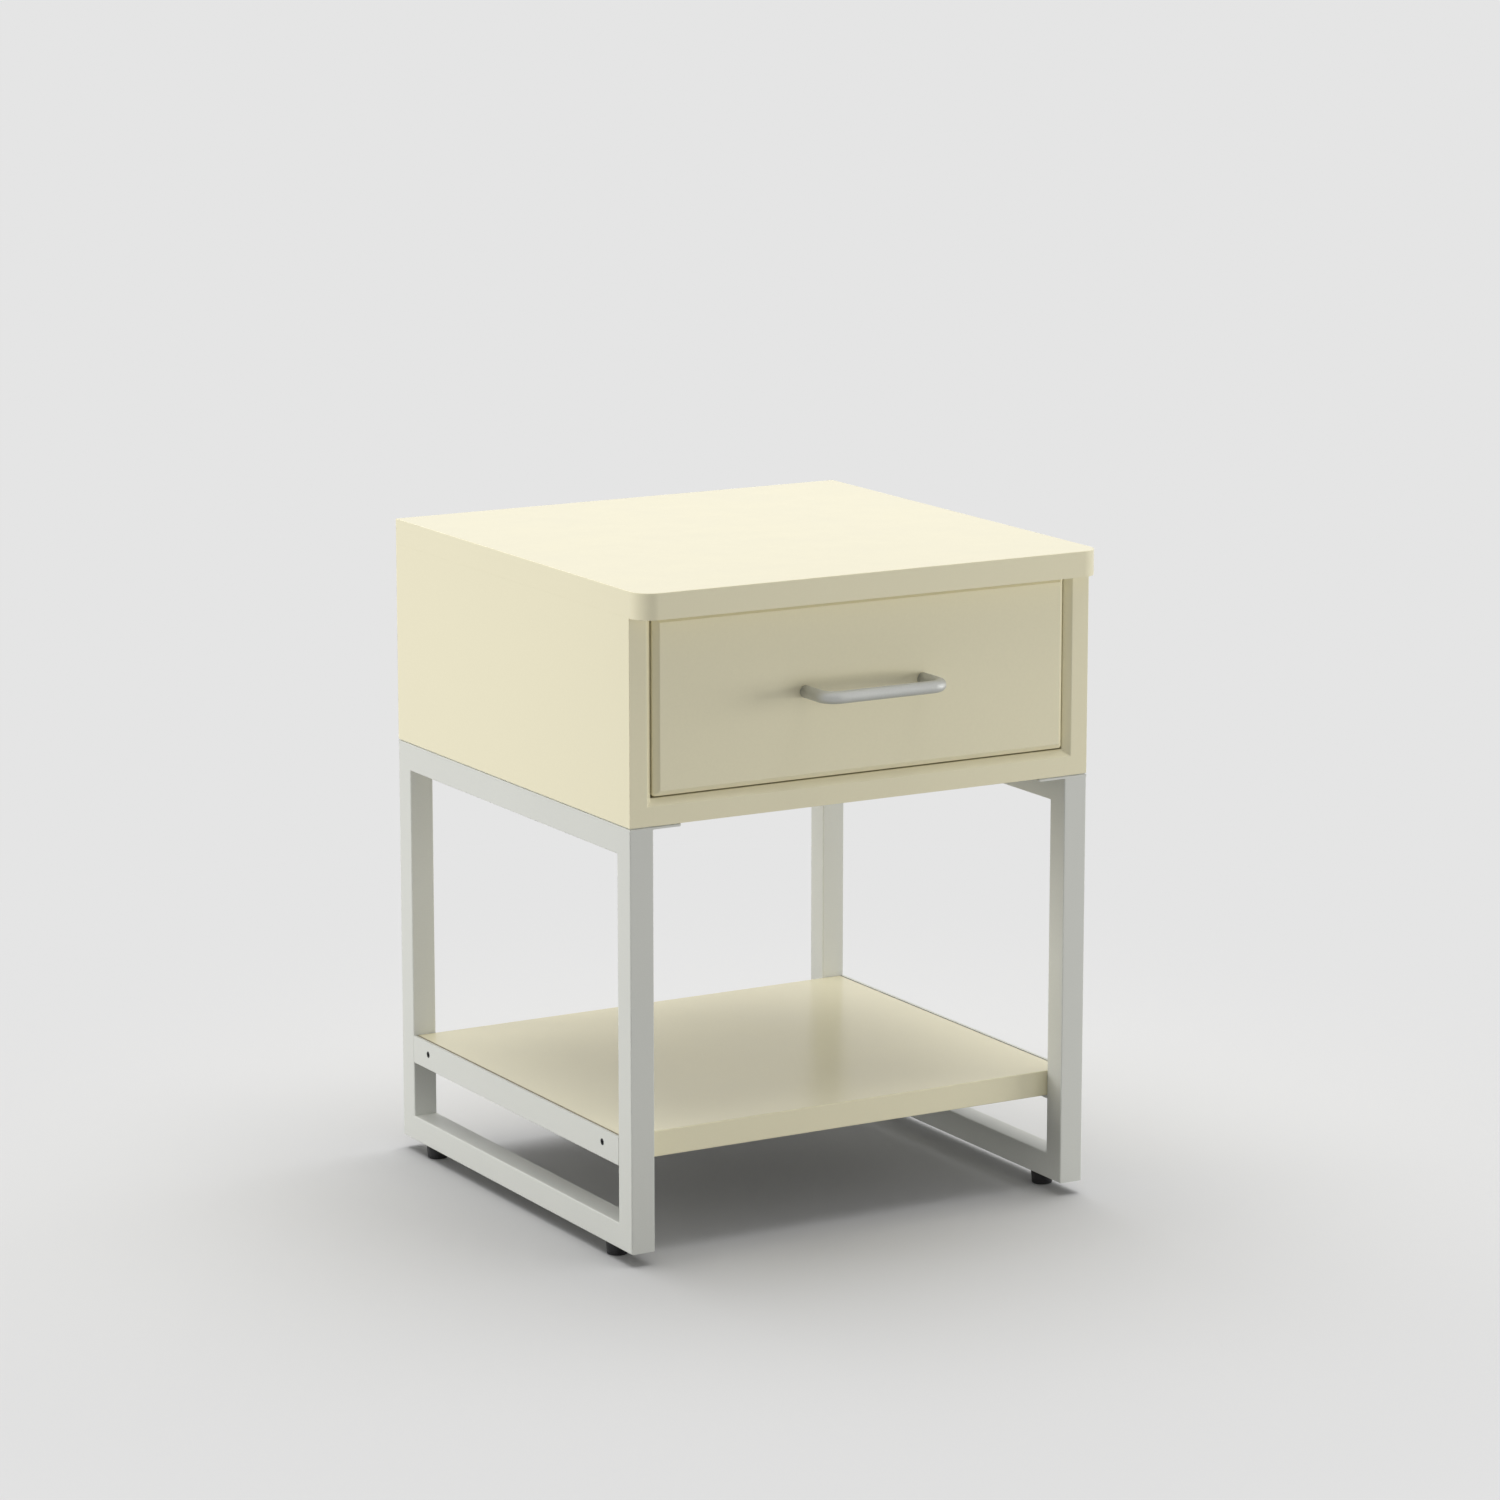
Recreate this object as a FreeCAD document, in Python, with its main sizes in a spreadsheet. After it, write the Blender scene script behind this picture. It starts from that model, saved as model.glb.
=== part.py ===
import FreeCAD, Part
import math
import os
import re
import Sketcher
from FreeCAD import Placement, Rotation, Vector

# Bedside cabinet: a one-drawer laminated case on two welded tube side frames, with a shelf
# between the frames and four levelling feet. Millimetres, +Z up, the drawer opens towards -Y.
# The origin is on the floor, at the middle of the whole outline with the handle.

doc = FreeCAD.newDocument("bedside_cabinet")
sheet = doc.addObject("Spreadsheet::Sheet", "Sizes")

sizes = {
    # case
    "case_width": "500",
    "case_depth": "478",
    "side_height": "196",
    "board": "25",
    "top_overhang": "22",
    "top_corner": "20",
    "opening_bevel": "6.5",
    "back_thickness": "6",
    "back_rebate": "10",
    "back_fit": "0.5",
    # hidden joints of the case
    "joint_inset": "60",
    "dowel_spacing": "64",
    "dowel_radius": "4",
    "dowel_length": "30",
    "dowel_bite": "12",
    "cam_radius": "7.5",
    "cam_skin": "7.5",
    "cam_inset": "24",
    "bolt_radius": "3",
    "bolt_bite": "11",
    "bolt_head_radius": "3.5",
    "bolt_head_length": "4",
    "bore_fit": "0.1",
    # side frames
    "frame_height": "403",
    "tube": "25",
    "tube_wall": "1.5",
    "tube_corner": "1.2",
    "flange_width": "55",
    "flange_thickness": "3",
    "flange_corner": "3",
    "angle_thickness": "3",
    # shelf
    "shelf_level": "108",
    "shelf_thickness": "25",
    "shelf_fit": "0.5",
    "shelf_screw_inset": "32",
    # levelling feet
    "foot_height": "13",
    "foot_inset": "51",
    "pad_top_radius": "11",
    "pad_base_radius": "10",
    "pad_edge": "1",
    "pad_floor": "3",
    "stem_radius": "4",
    "stem_gap": "2.5",
    "stem_tip": "1",
    "stem_head_radius": "6.5",
    "stem_head_height": "4",
    "nut_wall": "3",
    "nut_height": "8",
    "spigot_wall": "1.4",
    "thread_fit": "0.05",
    "foot_fit": "0.3",
    "head_fit": "0.1",
    # drawer
    "front_thickness": "20",
    "front_gap": "1.5",
    "front_bevel": "5.5",
    "front_corner": "3",
    "box_board": "12",
    "box_lift": "16",
    "box_headroom": "35",
    "box_clearance": "32",
    "box_bottom": "5",
    "groove_depth": "6",
    "groove_lift": "10",
    "groove_fit": "0.1",
    # runners
    "runner_space": "12.5",
    "runner_short": "20",
    "runner_overlap": "100",
    "runner_setback": "2",
    "steel": "1.2",
    "track_gap": "0.8",
    "track_lift": "1",
    "web_gap": "1",
    "lip_relief": "2",
    "roller_radius": "10",
    "roller_edge": "0.5",
    "roller_inset": "14",
    "roller_play": "0.2",
    "slide_gap": "0.3",
    "stop_height": "6",
    "rivet_radius": "2.5",
    "rivet_head_radius": "4",
    "rivet_head": "1",
    "rivet_collar": "0.8",
    "rivet_fit": "0.05",
    "rivet_gap": "1.9",
    # handle
    "handle_centres": "128",
    "handle_radius": "6",
    "handle_reach": "41",
    "handle_bend": "14",
    "tap_spare": "2",
    # screws
    "screw_radius": "1.75",
    "screw_head_radius": "3.3",
    "screw_head": "1.6",
    "screw_fit": "0.05",
    "runner_screw": "10",
    "runner_screw_inset": "50",
    "box_screw": "30",
    "box_screw_inset": "30",
    "front_screw": "25",
    "front_screw_inset": "40",
    "bottom_screw": "20",
    "flange_screw": "16",
    "flange_screw_step": "15",
    "shelf_screw": "30",
    "back_screw": "18",
    "back_screw_inset": "40",
    "handle_screw_radius": "2",
    "handle_screw_bite": "8",
    "pan_radius": "4",
    "pan_height": "2.4",
    # how far a cutter runs past the face it cuts through
    "cut_margin": "1",
}
for row, (alias, size) in enumerate(sizes.items(), start=1):
    sheet.set("A%d" % row, alias)
    sheet.set("B%d" % row, size)
    sheet.setAlias("B%d" % row, alias)

# Places worked out from the sizes; a place may use the ones above it.
places = {
    "half": "case_width / 2",
    "front": "(handle_reach + handle_radius - case_depth) / 2",
    "back": "front + case_depth",
    # heights
    "frame_base": "foot_height",
    "frame_top": "frame_base + frame_height",
    "case_base": "frame_top + flange_thickness",
    "case_floor": "case_base + board",
    "case_top": "case_base + side_height",
    "inner": "half - board",
    "opening_height": "case_top - case_floor",
    # hidden joints
    "joint_front": "front + joint_inset",
    "joint_rear": "back - joint_inset",
    "side_middle": "half - board / 2",
    "cam_height": "board - cam_skin",
    # shelf
    "shelf_top": "frame_base + shelf_level",
    "shelf_base": "shelf_top - shelf_thickness",
    "angle_base": "shelf_base - angle_thickness",
    "legs_front": "front + tube",
    "legs_back": "back - tube",
    "shelf_side": "half - angle_thickness - shelf_fit",
    # drawer
    "front_half": "inner - front_gap",
    "front_base": "case_floor + front_gap",
    "front_height": "opening_height - 2 * front_gap",
    "box_front": "front + front_thickness",
    "box_base": "case_floor + box_lift",
    "box_height": "opening_height - box_lift - box_headroom",
    "box_length": "case_depth - front_thickness - back_thickness - box_clearance",
    "box_half": "inner - runner_space",
    "box_inner": "box_half - box_board",
    "box_back": "box_front + box_length",
    "groove_base": "box_base + groove_lift",
    "groove_height": "box_bottom + 2 * groove_fit",
    "back_base": "groove_base + groove_height",
    "handle_level": "front_base + front_height / 2",
    # runners: distances from the middle plane, and heights
    "web_near": "inner - steel",
    "slider_far": "box_half + steel",
    "slider_edge": "web_near - web_gap",
    "track_near": "slider_far + track_gap",
    "roller_room": "web_near - slider_far - rivet_gap",
    "roller_width": "roller_room - rivet_collar - 2 * roller_play - rivet_head",
    "rivet_reach": "roller_room - rivet_head",
    "track": "box_base + track_lift",
    "axle_drawer": "track + roller_play + roller_radius",
    "lip_base": "track + 2 * roller_play + 2 * roller_radius",
    "lip_top": "lip_base + steel",
    "slider_top": "lip_top + slide_gap",
    "axle_case": "slider_top - roller_play - roller_radius",
    "runner_front": "box_front + runner_setback",
    "runner_length": "box_length - runner_short",
    "runner_back": "runner_front + runner_length",
    "drawer_travel": "runner_length - runner_overlap",
    "roller_front": "runner_front + roller_inset",
    "roller_back": "runner_back - steel - slide_gap - roller_radius",
    "stop_front": "roller_back - drawer_travel - roller_radius - slide_gap - steel",
    "lip_front": "roller_front + roller_radius + lip_relief",
    # levelling feet
    "nut_radius": "stem_radius + nut_wall",
    "spigot_radius": "stem_radius + spigot_wall",
    "stem_base": "pad_floor + thread_fit",
    "stem_shoulder": "stem_base + stem_head_height",
    "stem_top": "foot_height + tube - tube_wall - stem_gap",
    "pad_top": "foot_height - foot_fit",
    "head_room": "stem_head_radius + head_fit",
}


def expand(text, leaf):
    """Formula with every place written out in sizes, and each size passed through leaf."""
    def word(match):
        name = match.group()
        if name in places:
            return "(" + expand(places[name], leaf) + ")"
        return leaf(name)
    return re.sub(r"[a-z][a-z_]*", word, text)


def formula(text):
    return expand(text, lambda name: "Sizes." + name)


def value(text):
    plain = expand(text, lambda name: "(" + sizes[name] + ")")
    return FreeCAD.Units.Quantity(plain).Value


def bind(obj, prop, text):
    obj.setExpression(prop, formula(text))


turns = {
    "+Z": Rotation(Vector(1, 0, 0), 0),
    "-Z": Rotation(Vector(1, 0, 0), 180),
    "+X": Rotation(Vector(0, 1, 0), 90),
    "-X": Rotation(Vector(0, 1, 0), -90),
    "+Y": Rotation(Vector(1, 0, 0), -90),
    "-Y": Rotation(Vector(1, 0, 0), 90),
}


def place(obj, at, turn=Rotation()):
    obj.Placement = Placement(Vector(), turn)
    for axis, text in zip("xyz", at):
        bind(obj, "Placement.Base." + axis, text)
    return obj


def box(size, at, name="box"):
    """Box from its three sizes and its lowest corner."""
    obj = doc.addObject("Part::Box", name)
    for prop, text in zip(("Length", "Width", "Height"), size):
        bind(obj, prop, text)
    return place(obj, at)


def side_box(side, near, far, y, length, z, height, name="box"):
    """Box between two distances from the middle plane, on the left (-1) or the right (1)."""
    low = near if side > 0 else "-(%s)" % far
    return box(("(%s) - (%s)" % (far, near), length, height), (low, y, z), name)


def cylinder(radius, length, at, direction="+Z", name="cylinder"):
    obj = doc.addObject("Part::Cylinder", name)
    bind(obj, "Radius", radius)
    bind(obj, "Height", length)
    return place(obj, at, turns[direction])


def cone(radius, end_radius, length, at, direction, name="cone"):
    obj = doc.addObject("Part::Cone", name)
    bind(obj, "Radius1", radius)
    bind(obj, "Radius2", end_radius)
    bind(obj, "Height", length)
    return place(obj, at, turns[direction])


def fuse(parts, name="join"):
    if len(parts) == 1:
        return parts[0]
    obj = doc.addObject("Part::MultiFuse", name)
    obj.Shapes = parts
    return obj


def cut(base, tools, name="cut"):
    obj = doc.addObject("Part::Cut", name)
    obj.Base = base
    obj.Tool = fuse(tools)
    return obj


def out(side):
    """Direction away from the middle plane."""
    return "+X" if side > 0 else "-X"


def inward(side):
    return "-X" if side > 0 else "+X"


def signed(side, text):
    return text if side > 0 else "-(%s)" % text


def ahead(at, direction, text):
    """Point moved along a direction by a formula."""
    axis = "XYZ".index(direction[1])
    moved = list(at)
    moved[axis] = "%s %s (%s)" % (moved[axis], direction[0], text)
    return tuple(moved)


# ---- finished pieces

nodes = []


def node(obj, label):
    obj.Label = label
    nodes.append(obj)
    return obj


def group(parts, label):
    """Identical fasteners as one node of separate solids."""
    obj = doc.addObject("Part::Compound", label)
    obj.Links = parts
    return node(obj, label)


# ---- screws: flush ones have a conical head, pan ones a flat head that stands proud

def flush_screw(at, direction, length):
    head = cone("screw_head_radius", "screw_radius", "screw_head", at, direction)
    shank = cylinder("screw_radius", length, at, direction)
    return fuse([head, shank], "screw")


def flush_hole(at, direction, length):
    head = cone("screw_head_radius + screw_fit", "screw_radius + screw_fit", "screw_head", at, direction)
    shank = cylinder("screw_radius + screw_fit", length + " + screw_fit", at, direction)
    return fuse([head, shank], "hole")


def pan_screw(at, direction, length, radius="screw_radius"):
    start = ahead(at, direction, "-pan_height")
    head = cylinder("pan_radius", "pan_height", start, direction)
    shank = cylinder(radius, length + " + pan_height", start, direction)
    return fuse([head, shank], "screw")


def pan_hole(at, direction, length, radius="screw_radius"):
    return cylinder(radius + " + screw_fit", length + " + screw_fit", at, direction, "hole")


# ---- PartDesign bodies

def origin_plane(body, role):
    return next(item for item in body.Origin.OriginFeatures if item.Role == role)


def sketch_on(body, role, name):
    sketch = body.newObject("Sketcher::SketchObject", name)
    sketch.AttachmentSupport = [(origin_plane(body, role), "")]
    sketch.MapMode = "FlatFace"
    return sketch


def tie(sketch, *terms):
    """Constraint with no size."""
    sketch.addConstraint(Sketcher.Constraint(*terms))


def hold(sketch, text, *terms):
    """Constraint whose size is a formula."""
    which = sketch.addConstraint(Sketcher.Constraint(*terms, value(text)))
    sketch.setExpression("Constraints[%d]" % which, formula(text))


def outline(sketch, points):
    """Closed polygon whose every corner is held from the sketch's origin by the sizes."""
    first = sketch.GeometryCount
    corners = [Vector(value(x), value(y), 0) for x, y in points]
    for start, end in zip(corners, corners[1:] + corners[:1]):
        sketch.addGeometry(Part.LineSegment(start, end))
    for index in range(len(points)):
        line = first + index
        following = first + (index + 1) % len(points)
        tie(sketch, "Coincident", line, 2, following, 1)
    for index, pair in enumerate(points):
        line = first + index
        for kind, axis, text in (("DistanceX", -2, pair[0]), ("DistanceY", -1, pair[1])):
            if text == "0":
                tie(sketch, "PointOnObject", line, 1, axis)
            else:
                hold(sketch, text, kind, -1, 1, line, 1)


def rectangle(width, height, x="0", y="0"):
    right = width if x == "0" else "%s + %s" % (x, width)
    top = height if y == "0" else "%s + %s" % (y, height)
    return [(x, y), (right, y), (right, top), (x, top)]


def prism(label, outlines, length):
    """Body with one pad along its own +Z."""
    body = doc.addObject("PartDesign::Body", label)
    sketch = sketch_on(body, "XY_Plane", label + "_profile")
    for points in outlines:
        outline(sketch, points)
    pad = body.newObject("PartDesign::Pad", label + "_pad")
    pad.Profile = sketch
    bind(pad, "Length", length)
    doc.recompute()
    return body, pad


def turned(label, points):
    """Body turned about its own +Z from a half profile of (radius, height) corners."""
    body = doc.addObject("PartDesign::Body", label)
    sketch = sketch_on(body, "XZ_Plane", label + "_profile")
    outline(sketch, points)
    spin = body.newObject("PartDesign::Revolution", label + "_turn")
    spin.Profile = sketch
    spin.ReferenceAxis = (sketch, ["V_Axis"])
    spin.Angle = 360
    return body


def edge_names(feature, test):
    """Names of the straight edges whose ends pass a test."""
    names = []
    for index, edge in enumerate(feature.Shape.Edges, start=1):
        if len(edge.Vertexes) == 2 and test(edge.Vertexes[0].Point, edge.Vertexes[1].Point):
            names.append("Edge%d" % index)
    return names


def round_edges(body, feature, test, radius):
    fillet = body.newObject("PartDesign::Fillet", body.Label + "_round")
    fillet.Base = (feature, edge_names(feature, test))
    bind(fillet, "Radius", radius)
    doc.recompute()
    return fillet


def upright(a, b):
    return abs(a.z - b.z) > 1 and abs(a.x - b.x) + abs(a.y - b.y) < 0.01


sides = (("left", -1), ("right", 1))
joint_places = ("joint_front", "joint_rear")
dowel_places = ("joint_front + dowel_spacing", "joint_rear - dowel_spacing")

# ---- case: panels

opening = doc.addObject("Part::Wedge", "opening_bevel_cutter")
for prop, text in {
    "Xmin": "-inner - opening_bevel", "Xmax": "inner + opening_bevel",
    "Zmin": "case_floor - opening_bevel", "Zmax": "case_top",
    "X2min": "-inner", "X2max": "inner", "Z2min": "case_floor", "Z2max": "case_top",
    "Ymin": "front", "Ymax": "front + opening_bevel",
}.items():
    bind(opening, prop, text)


def upright_dowel(side, y):
    start = "case_top + dowel_bite - dowel_length"
    return cylinder("dowel_radius", "dowel_length", (signed(side, "side_middle"), y, start), "+Z", "dowel")


def level_dowel(side, y):
    start = "inner + dowel_bite - dowel_length"
    at = (signed(side, start), y, "case_base + board / 2")
    return cylinder("dowel_radius", "dowel_length", at, out(side), "dowel")


def bolt(at, direction):
    """Cam bolt from the middle of its cam to the end of its thread in the next panel."""
    head = cylinder("bolt_head_radius", "bolt_head_length", at, direction)
    shank = cylinder("bolt_radius", "cam_inset + bolt_bite", at, direction)
    return fuse([head, shank], "cam_bolt")


def bolt_bore(at, direction):
    """Way of the bolt's head through the cam and its panel, as far as the panel's edge."""
    start = ahead(at, direction, "-bore_fit")
    return cylinder("bolt_head_radius + bore_fit", "cam_inset + bore_fit", start, direction, "bolt_bore")


def thread_bore(at, direction):
    return cylinder("bolt_radius + screw_fit", "bolt_bite + screw_fit", at, direction, "thread_bore")


def cam(at, direction, bolt_at, bolt_direction):
    disc = cylinder("cam_radius", "cam_height", at, direction, "cam_disc")
    return cut(disc, [bolt_bore(bolt_at, bolt_direction)], "cam")


def cam_bore(at, direction):
    return cylinder("cam_radius + bore_fit", "cam_height + bore_fit", at, direction, "cam_bore")


cams, cam_bolts, dowels = [], [], []
top_bores, bottom_bores = [], []
side_bores = {-1: [], 1: []}
for _, side in sides:
    for y in joint_places:
        head_at = (signed(side, "side_middle"), y, "case_top - cam_inset")
        cam_at = (signed(side, "inner"), y, "case_top - cam_inset")
        cams.append(cam(cam_at, out(side), head_at, "+Z"))
        cam_bolts.append(bolt(head_at, "+Z"))
        side_bores[side] += [cam_bore(cam_at, out(side)), bolt_bore(head_at, "+Z")]
        top_bores.append(thread_bore((signed(side, "side_middle"), y, "case_top"), "+Z"))

        head_at = (signed(side, "inner - cam_inset"), y, "case_base + board / 2")
        cam_at = (signed(side, "inner - cam_inset"), y, "case_floor")
        cams.append(cam(cam_at, "-Z", head_at, out(side)))
        cam_bolts.append(bolt(head_at, out(side)))
        bottom_bores += [cam_bore(cam_at, "-Z"), bolt_bore(head_at, out(side))]
        side_bores[side].append(thread_bore((signed(side, "inner"), y, "case_base + board / 2"), out(side)))
    for y in dowel_places:
        dowels += [upright_dowel(side, y), level_dowel(side, y)]
        side_bores[side] += [upright_dowel(side, y), level_dowel(side, y)]
        top_bores.append(upright_dowel(side, y))
        bottom_bores.append(level_dowel(side, y))

back_screw_places = []
for x in ("-inner + back_screw_inset", "0", "inner - back_screw_inset"):
    back_screw_places.append((x, "back", "case_base + board / 2"))
for _, side in sides:
    for z in ("case_floor + back_screw_inset", "case_top - back_screw_inset"):
        back_screw_places.append((signed(side, "inner + back_rebate / 2"), "back", z))


def back_holes():
    return [flush_hole(at, "-Y", "back_screw") for at in back_screw_places]


def rebate():
    """Space of the back panel with its fit, cut from the panels around it."""
    return box(("2 * inner + 2 * back_rebate", "back_thickness", "opening_height + board + back_rebate"),
               ("-inner - back_rebate", "back - back_thickness", "case_base"), "rebate")


top, top_pad = prism("top_blank", [rectangle("case_width", "case_depth + top_overhang")], "board")
round_edges(top, top_pad, lambda a, b: upright(a, b) and a.y < 1, "top_corner")
place(top, ("-half", "front - top_overhang", "case_top"))
node(cut(top, [rebate()] + top_bores), "top_panel")

bottom = box(("2 * inner", "case_depth", "board"), ("-inner", "front", "case_base"), "bottom_blank")
flange_screw_places = []
for _, side in sides:
    for y in ("joint_front - flange_screw_step", "front + case_depth / 2", "joint_rear + flange_screw_step"):
        flange_screw_places.append((signed(side, "half - (tube + flange_width) / 2"), y, "frame_top"))
flange_holes = [pan_hole(at, "+Z", "flange_screw") for at in flange_screw_places]
node(cut(bottom, [opening, rebate()] + bottom_bores + back_holes() + flange_holes), "bottom_panel")

# ---- runners and the screws that hold them

runner_screw_places = ("runner_front + runner_screw_inset", "runner_front + runner_length / 2",
                       "runner_back - runner_screw_inset")
case_runner_screws, drawer_runner_screws, case_rivets, drawer_rivets = [], [], [], []


def rivet(side, y, z, face, direction):
    """Axle of a roller: from the far face of the runner's web, a collar, the roller and a head."""
    at = (signed(side, face), y, z)
    start = ahead(at, direction, "-steel")
    shank = cylinder("rivet_radius", "steel + rivet_reach + rivet_head", start, direction)
    collar = cylinder("rivet_head_radius", "rivet_collar", at, direction)
    head = cylinder("rivet_head_radius", "rivet_head", ahead(at, direction, "rivet_reach"), direction)
    return fuse([shank, collar, head], "rivet")


def roller(label, side, y, z, face, direction):
    body = turned(label + "_wheel", [
        ("rivet_radius + rivet_fit", "0"), ("roller_radius - roller_edge", "0"),
        ("roller_radius", "roller_edge"), ("roller_radius", "roller_width - roller_edge"),
        ("roller_radius - roller_edge", "roller_width"), ("rivet_radius + rivet_fit", "roller_width")])
    at = ahead((signed(side, face), y, z), direction, "rivet_collar + roller_play")
    place(body, at, turns[direction])
    return node(body, label)


def rivet_hole(side, y, z, face, direction):
    start = ahead((signed(side, face), y, z), direction, "-steel - rivet_fit")
    return cylinder("rivet_radius + rivet_fit", "steel + 2 * rivet_fit", start, direction, "rivet_hole")


for word, side in sides:
    # case member: a channel with its web on the side panel
    length = "runner_length"
    web = side_box(side, "web_near", "inner", "runner_front", length,
                   "track - steel", "lip_top - track + steel")
    floor = side_box(side, "track_near", "inner", "runner_front", length, "track - steel", "steel")
    lip = side_box(side, "track_near", "inner", "lip_front", "runner_back - lip_front", "lip_base", "steel")
    closed_stop = side_box(side, "track_near", "inner", "runner_back - steel", "steel",
                           "track - steel", "stop_height + steel")
    open_stop = side_box(side, "track_near", "inner", "stop_front", "steel",
                         "lip_base - stop_height", "stop_height + steel")
    channel = fuse([web, floor, lip, closed_stop, open_stop], "channel")
    holes = []
    for y in runner_screw_places:
        at = (signed(side, "web_near"), y, "axle_drawer")
        case_runner_screws.append(flush_screw(at, out(side), "runner_screw"))
        holes.append(flush_hole(at, out(side), "runner_screw"))
        side_bores[side].append(flush_hole(at, out(side), "runner_screw"))
    at_case = (side, "roller_front", "axle_case", "web_near", inward(side))
    node(cut(channel, holes + [rivet_hole(*at_case)]), word + "_case_runner")
    case_rivets.append(rivet(*at_case))
    roller(word + "_case_roller", *at_case)

    # drawer member: under the drawer's side, up its face and out over the case roller
    foot = side_box(side, "box_inner", "slider_far", "box_front", length, "box_base - steel", "steel")
    web = side_box(side, "box_half", "slider_far", "box_front", length, "box_base - steel",
                   "slider_top - box_base + 2 * steel")
    flange = side_box(side, "box_half", "slider_edge", "box_front", length, "slider_top", "steel")
    slider = fuse([foot, web, flange], "slider")
    holes = []
    for y in runner_screw_places:
        at = (signed(side, "slider_far"), y, "box_base + groove_lift / 2")
        drawer_runner_screws.append(flush_screw(at, inward(side), "runner_screw"))
        holes.append(flush_hole(at, inward(side), "runner_screw"))
    at_drawer = (side, "roller_back", "axle_drawer", "slider_far", out(side))
    node(cut(slider, holes + [rivet_hole(*at_drawer)]), word + "_drawer_runner")
    drawer_rivets.append(rivet(*at_drawer))
    roller(word + "_drawer_roller", *at_drawer)

group(case_rivets, "case_roller_rivets")
group(drawer_rivets, "drawer_roller_rivets")
group(case_runner_screws, "case_runner_screws")
group(drawer_runner_screws, "drawer_runner_screws")

# ---- case: sides, back and fasteners

for word, side in sides:
    panel = side_box(side, "inner", "half", "front", "case_depth", "case_base", "side_height")
    node(cut(panel, [opening, rebate()] + side_bores[side] + back_holes()), word + "_side_panel")

back_panel = box(("2 * inner + 2 * back_rebate - 2 * back_fit", "back_thickness",
                  "side_height + back_rebate - back_fit"),
                 ("-inner - back_rebate + back_fit", "back - back_thickness", "case_base"), "back_blank")
node(cut(back_panel, back_holes()), "back_panel")
group([flush_screw(at, "-Y", "back_screw") for at in back_screw_places], "back_panel_screws")
group(cams, "cam_locks")
group(cam_bolts, "cam_bolts")
group(dowels, "case_dowels")

# ---- drawer

front_body, front_pad = prism("front_blank", [rectangle("2 * front_half", "front_height")], "front_thickness")
chamfer = front_body.newObject("PartDesign::Chamfer", "front_bevel_cut")
face = next("Face%d" % index for index, item in enumerate(front_pad.Shape.Faces, start=1)
            if item.CenterOfMass.z > value("front_thickness") - 0.01)
chamfer.Base = (front_pad, [face])
bind(chamfer, "Size", "front_bevel")
doc.recompute()
round_edges(front_body, chamfer, upright, "front_corner")
place(front_body, ("-front_half", "front + front_thickness", "front_base"), turns["-Y"])

handle_bores, handle_screws, front_screws, front_bores = [], [], [], []
for _, side in sides:
    at = (signed(side, "handle_centres / 2"), "box_front + box_board", "handle_level")
    length = "box_board + front_thickness + handle_screw_bite"
    handle_screws.append(pan_screw(at, "-Y", length, "handle_screw_radius"))
    handle_bores.append(pan_hole(at, "-Y", length, "handle_screw_radius"))
    for z in ("box_base + front_screw_inset", "box_base + box_height - front_screw_inset / 2"):
        at = (signed(side, "box_inner - front_screw_inset"), "box_front + box_board", z)
        front_screws.append(pan_screw(at, "-Y", "front_screw"))
        front_bores.append(pan_hole(at, "-Y", "front_screw"))
node(cut(front_body, handle_bores + front_bores), "drawer_front")
group(handle_screws, "handle_screws")
group(front_screws, "drawer_front_screws")

groove = box(("2 * box_inner + 2 * groove_depth", "box_length", "groove_height"),
             ("-box_inner - groove_depth", "box_front + box_board - groove_depth", "groove_base"), "groove")
inner_front = box(("2 * box_inner", "box_board", "box_height"), ("-box_inner", "box_front", "box_base"),
                  "inner_front_blank")
drawer_back = box(("2 * box_inner", "box_board", "box_height + box_base - back_base"),
                  ("-box_inner", "box_back - box_board", "back_base"), "drawer_back_blank")
box_screws, box_holes = [], []
for _, side in sides:
    for y in ("box_front + box_board / 2", "box_back - box_board / 2"):
        for z in ("back_base + box_screw_inset / 2", "box_base + box_height - box_screw_inset / 2"):
            at = (signed(side, "box_half"), y, z)
            box_screws.append(flush_screw(at, inward(side), "box_screw"))
            box_holes.append(flush_hole(at, inward(side), "box_screw"))
bottom_screws, bottom_holes = [], []
for x in ("-box_inner / 2", "0", "box_inner / 2"):
    at = (x, "box_back - box_board / 2", "groove_base + groove_fit")
    bottom_screws.append(pan_screw(at, "+Z", "bottom_screw"))
    bottom_holes.append(pan_hole(at, "+Z", "bottom_screw"))

node(cut(inner_front, [groove] + handle_bores + front_bores + box_holes), "drawer_inner_front")
node(cut(drawer_back, box_holes + bottom_holes), "drawer_back")
for word, side in sides:
    panel = side_box(side, "box_inner", "box_half", "box_front", "box_length", "box_base", "box_height")
    holes = []
    for y in runner_screw_places:
        at = (signed(side, "slider_far"), y, "box_base + groove_lift / 2")
        holes.append(flush_hole(at, inward(side), "runner_screw"))
    node(cut(panel, [groove] + box_holes + holes), word + "_drawer_side")
drawer_bottom = box(
    ("2 * box_inner + 2 * groove_depth - 2 * groove_fit",
     "box_length - box_board + groove_depth - groove_fit", "box_bottom"),
    ("-box_inner - groove_depth + groove_fit", "box_front + box_board - groove_depth + groove_fit",
     "groove_base + groove_fit"), "drawer_bottom_blank")
node(cut(drawer_bottom, bottom_holes), "drawer_bottom")
group(box_screws, "drawer_box_screws")
group(bottom_screws, "drawer_bottom_screws")

# ---- handle: a round bar bent into a D, tapped at both ends

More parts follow.
